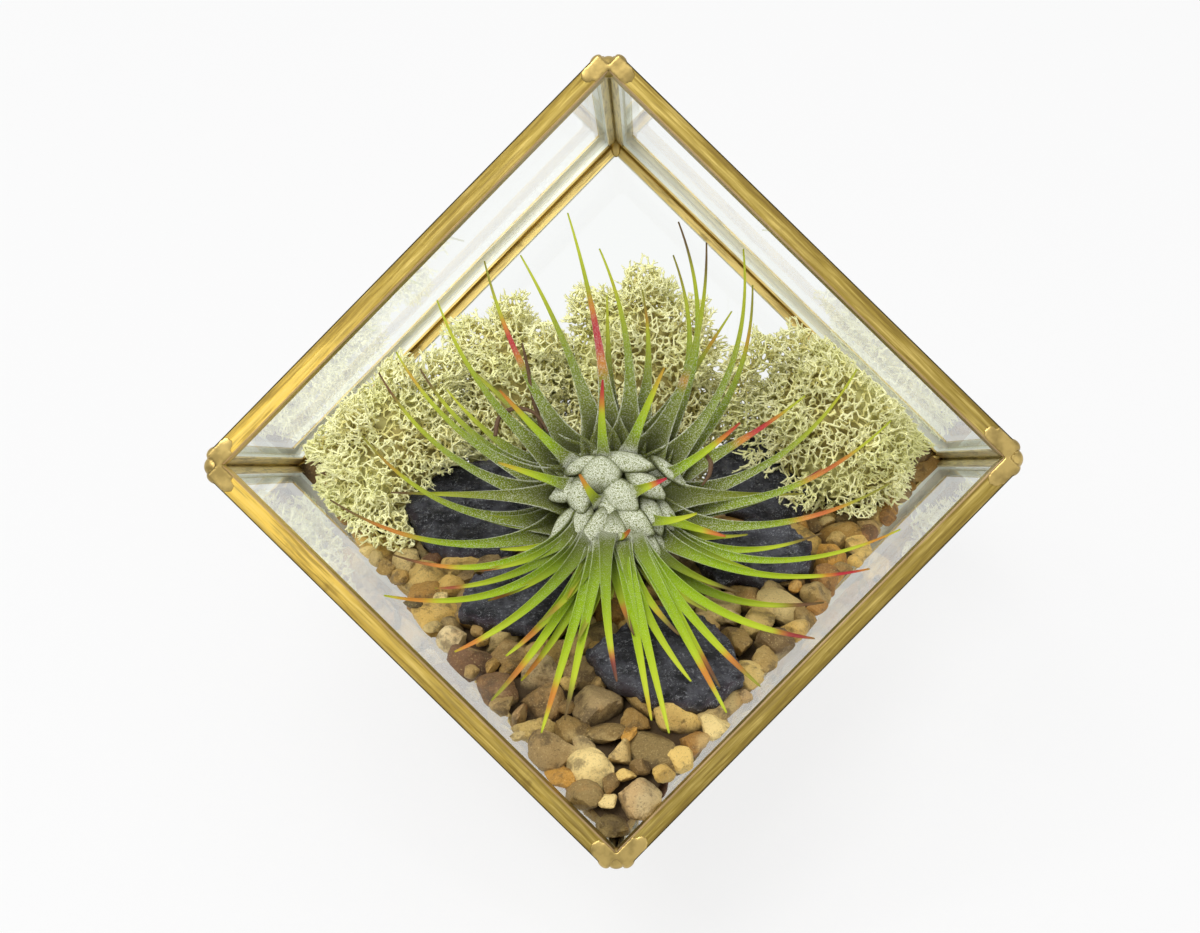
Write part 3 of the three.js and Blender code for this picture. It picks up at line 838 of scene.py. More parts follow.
def dress_node(name: str, material: bpy.types.Material) -> bpy.types.Object:
    """Give a carried-over node its material.

    Args:
        name: the node's name.
        material: the material.

    Returns:
        The node.
    """
    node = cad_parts[name]
    if not node.material_slots:
        node.data.materials.append(material)
    for place in node.material_slots:
        place.material = material
    return node


def unit_ball(level: int) -> tuple[np.ndarray, np.ndarray]:
    """Make a ball of radius one out of an icosahedron.

    Args:
        level: how finely it's divided.

    Returns:
        Its points and its triangles.
    """
    made = bmesh.new()
    bmesh.ops.create_icosphere(made, subdivisions=level, radius=1.0)
    points = np.array([v.co[:] for v in made.verts])
    faces = np.array([[v.index for v in f.verts] for f in made.faces])
    made.free()
    return points, faces


def turn_matrix(angles: Sequence[float]) -> np.ndarray:
    """A rotation by three Euler angles."""
    return np.array(Euler(angles, "XYZ").to_matrix())


# ---------------------------------------------------------------------------
@dataclass
class BrassFrame:
    """The channels that hold the panes: they keep their shape and get softened folds."""

    fold: float = 0.12
    channels: dict[str, tuple[Along, tuple[str, ...]]] = field(default_factory=lambda: {
        "rim_upper_left": (Along.Y, ("upper_left",)),
        "rim_upper_right": (Along.Z, ("upper_right",)),
        "rim_lower_left": (Along.Z, ("lower_left",)),
        "rim_lower_right": (Along.Y, ("lower_right",)),
        "came_top": (Along.X, ("upper_left", "upper_right")),
        "came_right": (Along.X, ("upper_right", "lower_right")),
        "came_left": (Along.X, ("upper_left", "lower_left")),
        "came_bottom": (Along.X, ("lower_left", "lower_right")),
        "came_back_upper_left": (Along.Y, ("back", "upper_left")),
        "came_back_lower_right": (Along.Y, ("back", "lower_right")),
        "came_back_upper_right": (Along.Z, ("back", "upper_right")),
        "came_back_lower_left": (Along.Z, ("back", "lower_left")),
        "foot_right_side": (Along.SLANT, ("base", "lower_right")),
        "foot_left_side": (Along.SLANT, ("base", "lower_left")),
        "foot_back": (Along.SLANT, ("base", "back")),
    })

    # The receding channels get paler colours, a painted reflection of the surround that they
    # mirror along their whole length
    pale_gold: Triple = (0.62, 0.50, 0.24)
    pale_olive: Triple = (0.56, 0.49, 0.27)
    # Those round the back pane are brighter and more golden
    back_gold: Triple = (0.84, 0.63, 0.21)
    back_olive: Triple = (0.76, 0.58, 0.21)

    def dress(self) -> None:
        """Give every channel its finish and small bevels."""
        for name, (along, sides) in self.channels.items():
            finish = BrassFinish(name, along, sides)
            if along is Along.X:
                finish = replace(finish, gold=self.pale_gold, olive=self.pale_olive)
            elif "back" in sides:
                finish = replace(finish, gold=self.back_gold, olive=self.back_olive)
            self._soften(dress_node(name, finish.build()))

    def _soften(self, node: bpy.types.Object) -> None:
        """Round a channel's folds a little.

        Args:
            node: the channel.
        """
        bevel = node.modifiers.new("folds", "BEVEL")
        bevel.width, bevel.segments = self.fold * MM, 2
        bevel.limit_method, bevel.angle_limit = "ANGLE", math.radians(40)
        bevel.harden_normals = True


@dataclass
class Panes:
    """The six panes of glass."""

    def dress(self) -> None:
        """Give every pane the glass finish."""
        material = GlassFinish().build()
        for wall in PANES:
            dress_node(f"pane_{wall.side}", material)


@dataclass
class SolderJoints:
    """Solder that fills each corner and runs a little way over the strips' ends."""

    voxel: float = 0.2
    start: float = 2.6
    reach: float = 4.0
    skin: float = 0.20
    filling: float = 1.9
    sunk: float = 0.3
    horn: Triple = (1.15, 1.3, 0.85)
    bridge: Triple = (0.55, 2.7, 1.1)
    corners: dict[str, Triple] = field(default_factory=lambda: {
        "top_front": (EDGE, EDGE, EDGE), "right_front": (EDGE, EDGE, 0.0),
        "bottom_front": (EDGE, 0.0, 0.0), "left_front": (EDGE, 0.0, EDGE),
        "top_back": (0.0, EDGE, EDGE), "right_back": (0.0, EDGE, 0.0),
        "left_back": (0.0, 0.0, EDGE), "foot_front": (FOOT_CUT, 0.0, 0.0),
        "foot_right": (0.0, FOOT_CUT, 0.0), "foot_left": (0.0, 0.0, FOOT_CUT),
    })

    def build(self) -> None:
        """Make every joint from its node, smoothed and spread over the strips."""
        material = SolderFinish().build()
        for index, (name, corner) in enumerate(self.corners.items()):
            node = f"solder_{name}"
            piece = self._joint(node, np.array(corner), index)
            install(piece, "solder", material, node)

    def _joint(self, node: str, corner: np.ndarray, index: int) -> bpy.types.Object:
        """One joint.

        Args:
            node: the node that it stands for.
            corner: the cube's corner, in the cube's frame.
            index: its number, which varies its shape.

        Returns:
            The piece.
        """
        made = bmesh.new()
        made.from_mesh(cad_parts[node].data)
        self._add_filling(made, corner)
        if node.endswith("front") and "foot" not in node:
            self._add_lobes(made, corner, index)
        if node.endswith("back"):
            self._add_bridge(made, corner)
        mesh = bpy.data.meshes.new(node + "_fillet")
        made.to_mesh(mesh)
        made.free()
        return self._smoothed(add_object(node + "_fillet", mesh))

    def _add_filling(self, made: bmesh.types.BMesh, corner: np.ndarray) -> None:
        """Add a ball of solder in the middle of a joint, a little way in from its corner.

        Args:
            made: the joint's mesh.
            corner: the corner, in the cube's frame.
        """
        places = np.array([vertex.co[:] for vertex in made.verts]) / MM
        middle = (places.min(axis=0) + places.max(axis=0)) / 2
        inwards = unit(middle - to_world(corner))
        in_cube = TO_WORLD.T @ (middle + self.sunk * inwards - CUT_CORNER)
        self._add_ball(made, in_cube, np.full(3, self.filling))

    def _add_lobes(self, made: bmesh.types.BMesh, corner: np.ndarray, index: int) -> None:
        """Add a horn beside the corner's notch and a thin tongue on each of its two strips.

        Args:
            made: the joint's mesh.
            corner: the corner, in the cube's frame.
            index: the joint's number, which varies the lobes.
        """
        random = Repeatable(60 + index)
        for axis in (1, 2):
            other = 3 - axis
            inward = 1.0 if corner[axis] < EDGE / 2 else -1.0
            other_in = 1.0 if corner[other] < EDGE / 2 else -1.0
            reach = self.reach * (0.7 + 0.6 * random())
            tongue = self._lobe_place(corner, (axis, inward * (self.start + reach / 2)),
                                      (other, other_in * FACE / 2), EDGE)
            self._add_slab(made, tongue, self._along(axis, self.skin, reach / 2, FACE / 2 - 0.15))
            lean = 0.9 * (random() - 0.5)
            end = self._lobe_place(corner, (axis, inward * (self.start + reach)),
                                   (other, other_in * (FACE / 2 + lean)), EDGE)
            self._add_ball(made, end, self._along(axis, self.skin, 1.5, FACE / 2 - abs(lean)))
            horn = self._lobe_place(corner, (axis, inward * 3.5), (other, other_in * 0.5),
                                    EDGE - 1.0)
            self._add_ball(made, horn, self._along(axis, *self.horn))

    @staticmethod
    def _lobe_place(corner: np.ndarray, first: tuple[int, float], second: tuple[int, float],
                    level: float) -> np.ndarray:
        """Find a place beside a corner.

        Args:
            corner: the corner, in the cube's frame.
            first: the number of one of the cube's axes and a step along it.
            second: the same for another axis.
            level: the place's distance from the back.

        Returns:
            The place, in the cube's frame.
        """
        place = corner.astype(float).copy()
        place[0] = level
        for axis, step in (first, second):
            place[axis] += step
        return place

    @staticmethod
    def _along(axis: int, thick: float, long: float, wide: float) -> np.ndarray:
        """Lay the longest of three half axes along one of the cube's axes.

        Args:
            axis: the number of the cube's axis.
            thick: the half axis towards the open side.
            long: the longest one.
            wide: the third one.

        Returns:
            The three, in the cube's frame.
        """
        half = np.array([thick, wide, wide])
        half[axis] = long
        return half

    @staticmethod
    def _add_slab(made: bmesh.types.BMesh, middle: np.ndarray, half: np.ndarray) -> None:
        """Add a thin slab of solder.

        Args:
            made: the joint's mesh.
            middle: the slab's middle, in the cube's frame.
            half: its half sizes, in mm.
        """
        place = to_matrix(TO_WORLD).to_4x4()
        place.translation = Vector(to_world(middle) * MM)
        bmesh.ops.create_cube(made, size=2.0, matrix=place @ Matrix.Diagonal((*(half * MM), 1.0)))

    def _add_ball(self, made: bmesh.types.BMesh, middle: np.ndarray, half: np.ndarray,
                  turn: np.ndarray | None = None) -> None:
        """A flattened ball of solder.

        Args:
            made: the mesh it's added to.
            middle: its middle, in the cube's frame.
            half: its half axes, in mm.
            turn: their directions in the cube's frame, as columns.
        """
        axes = TO_WORLD @ (np.eye(3) if turn is None else turn)
        place = to_matrix(axes).to_4x4()
        place.translation = Vector(to_world(middle) * MM)
        bmesh.ops.create_icosphere(made, subdivisions=3, radius=1.0,
                                   matrix=place @ Matrix.Diagonal((*(half * MM), 1.0)))

    def _add_bridge(self, made: bmesh.types.BMesh, corner: np.ndarray) -> None:
        """Add solder along the mitre where two channels of the back meet.

        Args:
            made: the joint's mesh.
            corner: the corner, in the cube's frame.
        """
        inward = np.where(corner[1:] < EDGE / 2, 1.0, -1.0) / math.sqrt(2)
        turn = np.array([[1, 0, 0], [0, inward[0], -inward[1]], [0, inward[1], inward[0]]])
        middle = corner + np.array([FACE, *(inward * 5.4)])
        self._add_ball(made, middle, np.array(self.bridge), turn)

    def _smoothed(self, piece: bpy.types.Object) -> bpy.types.Object:
        """Melt a piece's bodies together.

        Args:
            piece: the piece.

        Returns:
            The piece.
        """
        remesh = piece.modifiers.new("melt", "REMESH")
        remesh.mode, remesh.voxel_size, remesh.use_smooth_shade = "VOXEL", self.voxel * MM, True
        smooth = piece.modifiers.new("flow", "SMOOTH")
        smooth.iterations, smooth.factor = 3, 0.5
        return apply_modifiers(piece)


def apply_modifiers(piece: bpy.types.Object) -> bpy.types.Object:
    """Replace a piece's mesh by what its modifiers make of it.

    Args:
        piece: the piece.

    Returns:
        The piece.
    """
    bpy.context.view_layer.update()
    shaped = piece.evaluated_get(bpy.context.evaluated_depsgraph_get())
    mesh = bpy.data.meshes.new_from_object(shaped)
    piece.modifiers.clear()
    piece.data = mesh
    return piece


# ---------------------------------------------------------------------------
@dataclass(frozen=True)
class Placed:
    """A thing with a frame of its own: the node it stands for and its middle."""

    node: str
    at: Triple

    @property
    def basis(self) -> np.ndarray:
        """The thing's own axes as columns."""
        return np.eye(3)

    def to_local(self, points: np.ndarray) -> np.ndarray:
        """Points of the part's frame in the thing's own frame."""
        return (points - np.array(self.at)) @ self.basis

    def to_part(self, points: np.ndarray) -> np.ndarray:
        """Points of the thing's own frame in the part's frame."""
        return points @ self.basis.T + np.array(self.at)


@dataclass(frozen=True)
class SlateChip(Placed):
    """One slate chip's place, size, lean towards the viewer, turn and seed, as in the part."""

    size: Triple
    lean: float
    turn: float
    seed: int

    @property
    def basis(self) -> np.ndarray:
        """The chip's own axes as columns."""
        lean, turn = math.radians(self.lean), math.radians(self.turn)
        return turn_matrix((lean, 0.0, 0.0)) @ turn_matrix((0.0, 0.0, turn))

    def near(self, points: np.ndarray, room: np.ndarray | float) -> np.ndarray:
        """Tell which points lie within some room of the chip.

        Args:
            points: the points, in the part's frame.
            room: the room, in mm.

        Returns:
            True for each of those points.
        """
        local = self.to_local(points)
        flat = np.hypot(local[..., 0] / (self.size[0] / 2 + room),
                        local[..., 1] / (self.size[1] / 2 + room))
        return (flat < 1) & (np.abs(local[..., 2]) < self.size[2] / 2 + room)

    def outline(self) -> np.ndarray:
        """The chip's corners, as the part draws them.

        Returns:
            The corners, in the chip's own frame.
        """
        random, sides, chip = Repeatable(self.seed), 9, 1.1
        corners = []
        for i in range(sides):
            angle = 2 * math.pi * (i + 0.5 * random()) / sides
            out = 0.5 * (0.84 + 0.3 * random())
            corners.append(((self.size[0] * out - chip) * math.cos(angle),
                            (self.size[1] * out - chip) * math.sin(angle)))
        return np.array(corners)


CHIPS = (
    SlateChip("slate_front", (9, -40, 47.3), (29, 24, 5), 12, 8, 3),
    SlateChip("slate_front_left", (-17.5, -23, 47), (25, 19, 5), 10, -12, 5),
    SlateChip("slate_back_left", (-27, 8.5, 45.2), (27, 26, 5.5), 14, 15, 9),
    SlateChip("slate_back_right", (29, 20, 43.2), (22, 24, 5), 16, -25, 12),
    SlateChip("slate_right", (25, -7.5, 45.8), (24, 17, 5), 8, 6, 15),
    SlateChip("slate_under_plant", (-1, 4, 43.9), (24, 22, 4.6), 6, 30, 21),
)


@dataclass
class SlateChips:
    """Split slate: broken outlines, terraces of thin layers and chipped edges."""

    around: int = 156
    rings: int = 34
    rings_below: int = 8
    chip: float = 1.1
    layer: float = 0.34

    def build(self) -> None:
        """Make every chip."""
        material = SlateFinish().build()
        for chip in CHIPS:
            points, faces, drawn = self._body(chip)
            piece = make_mesh(chip.node + "_split", chip.to_part(points), faces, drawn)
            install(piece, "slate", material, chip.node)

    def _reach(self, chip: SlateChip, angles: np.ndarray) -> np.ndarray:
        """How far the part's outline reaches at some angles.

        Args:
            chip: the chip.
            angles: the angles.

        Returns:
            The distance from the middle at each, in mm.
        """
        corners = chip.outline()
        reach = np.zeros(len(angles))
        for i, angle in enumerate(angles):
            ray = np.array([math.cos(angle), math.sin(angle)])
            for a, b in zip(corners, np.roll(corners, -1, axis=0)):
                side = b - a
                cross = ray[0] * side[1] - ray[1] * side[0]
                if abs(cross) < 1e-9:
                    continue
                t = (a[0] * side[1] - a[1] * side[0]) / cross
                u = (a[0] * ray[1] - a[1] * ray[0]) / cross
                if t > 0 and -1e-6 <= u <= 1 + 1e-6:
                    reach[i] = max(reach[i], t)
        return reach

    def _edge(self, chip: SlateChip, rng: np.random.Generator, angles: np.ndarray) -> np.ndarray:
        """The broken outline at some angles.

        Args:
            chip: the chip.
            rng: its random numbers.
            angles: the angles.

        Returns:
            The distance from the middle at each, in mm.
        """
        bites = np.zeros(self.around)
        for count, deep in ((11, 1.5), (29, 0.7), (71, 0.22)):
            knots = np.sort(rng.uniform(0, 2 * math.pi, count))
            bites += np.interp(angles, knots, deep * rng.uniform(-1.0, 0.45, count),
                               period=2 * math.pi)
        return self._reach(chip, angles) + self.chip + bites

    def _body(self, chip: SlateChip) -> Body:
        """A chip's body, in its own frame.

        Args:
            chip: the chip.

        Returns:
            Its points, faces and drawn numbers.
        """
        rng = np.random.default_rng(chip.seed)
        angles = np.linspace(0, 2 * math.pi, self.around, endpoint=False)
        edge = self._edge(chip, rng, angles)
        top = np.linspace(0.0, 1.0, self.rings) ** 0.8
        below = np.linspace(1.0, 0.0, self.rings_below)
        share = np.concatenate([top, [1.015, 0.995], below])
        level = np.concatenate([np.ones(self.rings), [0.2, -0.5], -np.ones(self.rings_below)])
        x = share[:, None] * edge * np.cos(angles)
        y = share[:, None] * edge * np.sin(angles)
        rough = self._split(x, y, 31.0 * chip.seed)
        worn = smoothstep(share, 0.72, 1.0)[:, None] * (0.4 + 1.5 * self._relief(x, y, 0.21, 3.3))
        half = chip.size[2] / 2
        z = level[:, None] * (half - 0.5)
        z = z + np.where(level[:, None] > 0, rough - worn, 0.5 * worn - 0.3 * rough)
        z += 0.16 * (self._relief(x, y, 1.1, 9.0 + chip.seed) - 0.5)
        points = np.stack([x, y, z], axis=-1).reshape(-1, 3)
        rows = len(share)
        index = np.arange(rows * self.around).reshape(rows, self.around)
        a, b = index[:-1], index[1:]
        quads = np.stack([a, b, np.roll(b, -1, axis=1), np.roll(a, -1, axis=1)], axis=-1)
        drawn = {"edge": np.repeat(np.clip(share, 0, 1), self.around)}
        return points, quads.reshape(-1, 4), drawn

    def _split(self, x: np.ndarray, y: np.ndarray, seed: float) -> np.ndarray:
        """The split surface: flat terraces, one thin layer over the other.

        Args:
            x: places along the chip.
            y: places across it.
            seed: the surface's seed.

        Returns:
            Its height at each, in mm.
        """
        rise = 2.4 * self._relief(x, y, 0.10, seed) + 0.8 * self._relief(x, y, 0.33, seed + 5)
        steps = rise / self.layer
        part = steps - np.floor(steps)
        return self.layer * (np.floor(steps) + part ** 5) - 1.0

    @staticmethod
    def _relief(x: np.ndarray, y: np.ndarray, scale: float, seed: float) -> np.ndarray:
        """Fractal relief, drawn out along one direction.

        Args:
            x: places along the chip.
            y: places across it.
            scale: how fine it is, per mm.
            seed: its seed.

        Returns:
            Its height at each, from 0 to 1.
        """
        values = [noise.fractal(Vector((px * scale, py * scale * 1.7, seed)), 0.8, 2.1, 4)
                  for px, py in zip(x.ravel(), y.ravel())]
        return np.clip(0.5 + 0.5 * np.array(values), 0, 1).reshape(x.shape)


# ---------------------------------------------------------------------------
@dataclass
class StoneLayer:
    """One throw of stones: tries, radii, spacing, and whether they lie on top."""

    tries: int
    least: float
    most: float
    spacing: float
    on_top: bool


@dataclass
class GravelBed:
    """River stones on the bed's surface and against the glass, round a core coloured in painted
    shade.
    """

    seed: int = 17
    seat: float = 0.72
    facets: int = 10
    wear: float = 34.0
    fine_from: float = 3.5
    crease: float = 27.0
    region: tuple = ((-70, 70), (-76, 42), (0, 48))  # the box that stones are thrown in
    sunk: float = 0.55  # depth of a top stone's middle, in radii
    cover: float = 0.5  # least depth of any stone's middle, in radii
    lowest: float = 1.0
    tilt: float = 0.25
    clear: float = 0.05  # room left before the glass
    front: float = -8.0  # stones before this place along Y are seen closely
    uneven: tuple[float, float] = (0.88, 1.12)
    broken: tuple[float, float] = (0.50, 0.98)  # how near the broken sides lie, in radii
    core_shade_tint: float = 0.81
    core_deep: float = 3.0
    core_room: float = 2.2
    shapes: tuple = (
        (0.40, (1.15, 0.98, 0.76)), (0.22, (1.45, 0.86, 0.66)), (0.16, (1.3, 1.1, 0.5)),
        (0.22, (1.02, 1.0, 0.92)),
    )
    layers: tuple[StoneLayer, ...] = (
        StoneLayer(1400, 3.9, 4.6, 0.95, True),
        StoneLayer(9000, 2.7, 3.7, 0.78, True),
        StoneLayer(12000, 1.5, 2.5, 0.80, True),
        StoneLayer(6000, 3.9, 5.2, 0.82, False),
        StoneLayer(9000, 2.6, 3.8, 0.76, False),
    )
    # Brown stones in the far corners: place, radius and tint
    corner_stones: tuple = (
        ((-61.5, 36.5, 34.5), 4.3, 0.16), ((-57.0, 36.0, 37.5), 3.8, 0.34),
        ((-57.5, 33.0, 33.0), 4.0, 0.0), ((-65.5, 38.5, 34.0), 3.2, 0.16),
        ((-60.0, 38.5, 38.5), 2.9, 0.16),
        ((62.0, 36.5, 34.5), 4.2, 0.0), ((58.5, 37.0, 38.0), 3.6, 0.16),
        ((56.5, 33.0, 33.5), 4.1, 0.34), ((65.5, 38.5, 34.0), 3.2, 0.16),
        ((61.0, 38.5, 38.0), 2.8, 0.16),
    )

    def build(self) -> None:
        """Make the stones and the core."""
        material = GravelFinish().build()
        top, sides = self._place()
        top += [(np.array(at), radius, unit(np.array([0.1, -0.5, 1.0])), 40 + n, tint)
                for n, (at, radius, tint) in enumerate(self.corner_stones)]
        core = self._core()
        install(core, "gravel", material)
        for name, stones in (("gravel_top", top), ("gravel_sides", sides)):
            parts = [self._stone(stone) for stone in stones]
            points, faces, drawn = join_parts(parts)
            piece = make_mesh(name, points, faces, drawn)
            piece.data.set_sharp_from_angle(angle=math.radians(self.crease))
            install(piece, "gravel", material, "gravel_bed")
            log.info("%s: %d stones, %d triangles", name, len(stones), len(faces))

    def _place(self) -> tuple[list, list]:
        """Throw the stones.

        Returns:
            Those on top and those at the sides, each as (place, radius, way up, seed, tint).
        """
        rng = np.random.default_rng(self.seed)
        places, radii = np.zeros((0, 3)), np.zeros(0)
        top, sides = [], []
        for layer in self.layers:
            for _ in range(layer.tries):
                at = np.array([rng.uniform(*ends) for ends in self.region])
                radius = rng.uniform(layer.least, layer.most)
                depths = np.array([float(wall.distance(at)) for wall in PANES])
                nearest = int(np.argmin(depths))
                seat = self.seat * radius
                if layer.on_top:
                    at[2] = bed_height(at[1]) - self.sunk * radius
                    way = unit(np.array([0.0, 0.15, 1.0]) + rng.normal(0, self.tilt, 3))
                else:
                    at += PANES[nearest].inward * (seat - depths[nearest])
                    way = unit(PANES[nearest].inward + rng.normal(0, self.tilt, 3))
                highest = bed_height(at[1]) - self.cover * radius
                if at[2] > highest or at[2] < self.lowest:
                    continue
                if float(pane_distance(at)) < seat - 0.01 or float(OPEN_SIDE.distance(at)) < seat:
                    continue
                if layer.on_top and any(bool(chip.near(at, -1.0)) for chip in CHIPS):
                    continue
                if len(radii):
                    gaps = np.linalg.norm(places - at, axis=1) - layer.spacing * (radii + radius)
                    if gaps.min() < 0:
                        continue
                places, radii = np.vstack([places, at]), np.append(radii, radius)
                stone = (at, radius, way, int(rng.integers(1 << 30)), rng.uniform(0, 1))
                (top if layer.on_top else sides).append(stone)
        return top, sides

    def _stone(self, stone: tuple) -> Body:
        """One stone: broken flat on many sides, its corners worn a little.

        Args:
            stone: its place, radius, way up, seed and tint.

        Returns:
            Its points, faces and drawn numbers.
        """
        at, radius, way, seed, tint = stone
        rng = np.random.default_rng(seed)
        on_view = at[1] < self.front and way[2] > 0.7
        ball, faces = BALLS[4 if radius > self.fine_from and on_view else 3]
        shape = rng.choice(len(self.shapes), p=[share for share, _ in self.shapes])
        half = np.array(self.shapes[shape][1]) * rng.uniform(*self.uneven, 3)
        planes = unit(rng.normal(0, 1, (self.facets, 3)))
        depth = rng.uniform(*self.broken, self.facets)
        press = np.maximum(ball @ planes.T / depth, 0.0)
        worn = self.wear * rng.uniform(0.6, 1.6)
        reach = (1.0 + (press ** worn).sum(axis=1)) ** (-1 / worn)
        pits = np.array([noise.fractal(Vector(p * 2.6) + Vector((seed % 97, 0, 0)), 0.9, 2.2, 4)
                         for p in ball])
        points = ball * (reach * (1.10 + 0.075 * pits))[:, None]
        points = points * half * radius
        side = unit(np.cross(way, rng.normal(0, 1, 3)))
        basis = np.stack([side, np.cross(way, side), way], axis=1)
        points = pressed_inside(points @ basis.T + at, (*PANES, OPEN_SIDE), self.clear)
        # Painted shade: the farther a point lies below the bed's surface and from the glass, the
        # darker it is.
        below = bed_height(points[:, 1]) - points[:, 2]
        depth = np.minimum(below, pane_distance(points))
        return points, faces, {"tint": np.full(len(points), tint),
                               "shade": smoothstep(depth, 1.0, 3.8)}

    def _core(self) -> bpy.types.Object:
        """A sheet under the stones, coloured all in painted shade: it stands for the dark gaps
        between them.

        Returns:
            The piece.
        """
        made = bmesh.new()
        reach, steps = 120.0, 16
        outline = [(-reach, -reach)]
        for i in range(steps + 1):
            y = reach * (2 * i / steps - 1)
            outline.append((y, float(bed_height(y)) - self.core_deep))
        outline.append((reach, -reach))
        ends = [[made.verts.new((x, y, z)) for y, z in outline] for x in (-reach, reach)]
        made.faces.new(ends[0][::-1])
        made.faces.new(ends[1])
        for i in range(len(outline)):
            j = (i + 1) % len(outline)
            made.faces.new((ends[0][i], ends[0][j], ends[1][j], ends[1][i]))
        for wall in (*PANES, OPEN_SIDE):
            middle = to_world(wall.corner) + wall.inward * (wall.depth + self.core_room)
            cut = bmesh.ops.bisect_plane(
                made, geom=[*made.verts, *made.edges, *made.faces], plane_co=middle,
                plane_no=wall.inward, clear_inner=True)
            rim = [e for e in cut["geom_cut"] if isinstance(e, bmesh.types.BMEdge)]
            bmesh.ops.holes_fill(made, edges=rim)
        bmesh.ops.recalc_face_normals(made, faces=made.faces)
        bmesh.ops.scale(made, vec=(MM, MM, MM), verts=made.verts)
        mesh = bpy.data.meshes.new("gravel_shade_core")
        made.to_mesh(mesh)
        made.free()
        count = len(mesh.vertices)
        # Painted shade: the core is dark umber all over.
        set_drawn(mesh, {"tint": np.full(count, self.core_shade_tint), "shade": np.ones(count)})
        return add_object("gravel_shade_core", mesh)


BALLS = {level: unit_ball(level) for level in (3, 4)}


# ---------------------------------------------------------------------------
GOLDEN_ANGLE = math.radians(137.508)
KNOB = 4.2


@dataclass(frozen=True)
class MossClump(Placed):
    """One clump's node, middle, half sizes (out, across, up), knobs and seed, as in the part."""

    half: Triple
    knobs: int
    seed: int
    tufts: tuple = ()

    @property
    def basis(self) -> np.ndarray:
        """The clump's own axes as columns."""
        return np.stack([OUT, RIGHT, UP], axis=1)

    def near(self, points: np.ndarray, room: np.ndarray | float) -> np.ndarray:
        """Tell which points lie within some room of the clump.

        Args:
            points: the points, in the part's frame.
            room: the room, in mm.

        Returns:
            True for each of those points.
        """
        grown = 1.08 * np.array(self.half) + KNOB * 1.25
        local = self.to_local(points) / (grown + np.asarray(room)[..., None])
        return np.linalg.norm(local, axis=-1) < 1

    def knob_places(self) -> tuple[np.ndarray, np.ndarray]:
        """Place the knobs, as the part draws them.

        Returns:
            Their middles and radii.
        """
        random, places, radii = Repeatable(self.seed), [], []
        for i in range(self.knobs):
            height = 1 - 2 * (i + 0.5) / self.knobs
            angle = i * GOLDEN_ANGLE + 0.6 * random()
            ring = math.sqrt(1 - height * height)
            out = 0.86 + 0.22 * random()
            spot = np.array([ring * math.cos(angle), ring * math.sin(angle), height])
            places.append(spot * np.array(self.half) * out)
            radii.append(KNOB * (0.75 + 0.5 * random()))
        return self.to_part(np.array(places)), np.array(radii)


CLUMPS = (
    MossClump("moss_left", (-44.5, 21.5, 48), (13, 13, 16), 20, 31,
              ((-38, 31, 57, 5.5), (-35, 32, 62, 4.6), (-39, 31, 50, 5), (-44.5, 5, 43, 5),
               (-42, 2, 43, 3.6))),
    MossClump("moss_back_left", (-22, 35.5, 53.7), (10, 10, 17), 16, 32),
    MossClump("moss_back", (4, 35.4, 55.2), (11, 15, 21), 22, 33,
              ((-13.5, 33, 68, 4.2), (-13, 33, 60, 4.8), (-12, 33, 52, 4.8))),
    MossClump("moss_right", (43.5, 28.2, 50.3), (13, 16, 18), 22, 34,
              ((24, 32, 57, 4.4), (26, 31, 51, 5), (22, 33, 49, 4.4), (25, 33, 62, 4.2),
               (30, 33, 65.5, 4.0), (35.5, 33, 67, 3.8))),
)


@dataclass
class Strands:
    """Stretches of moss: starts, ends, radii and depths (0 inside to 1 outside) at both."""

    start: np.ndarray
    end: np.ndarray
    thick: np.ndarray
    thin: np.ndarray
    inner: np.ndarray
    outer: np.ndarray

    def tubes(self, sides: int = 3) -> Body:
        """Lay slim tubes round the stretches.

        Args:
            sides: the number of a tube's sides.

        Returns:
            Their points, triangles and drawn numbers.
        """
        way = unit(self.end - self.start)
        side = unit(np.cross(way, np.array([0.31, 0.83, 0.47])))
        over = np.cross(way, side)
        angles = 2 * math.pi * np.arange(sides) / sides
        ring = (side[:, None, :] * np.cos(angles)[None, :, None]
                + over[:, None, :] * np.sin(angles)[None, :, None])
        low = (self.start - 0.1 * way)[:, None, :] + ring * self.thick[:, None, None]
        high = (self.end + 0.1 * way)[:, None, :] + ring * self.thin[:, None, None]
        points = np.concatenate([low, high], axis=1).reshape(-1, 3)
        base = 2 * sides * np.arange(len(self.start))[:, None]
        k = np.arange(sides)
        after = (k + 1) % sides
        quads = np.stack([base + k, base + after, base + after + sides, base + k + sides],
                         axis=-1).reshape(-1, 4)
        faces = to_triangles(quads)
        depth = np.concatenate([np.repeat(self.inner[:, None], sides, axis=1),
                                np.repeat(self.outer[:, None], sides, axis=1)], axis=1)
        return points, faces, {"depth": depth.ravel()}


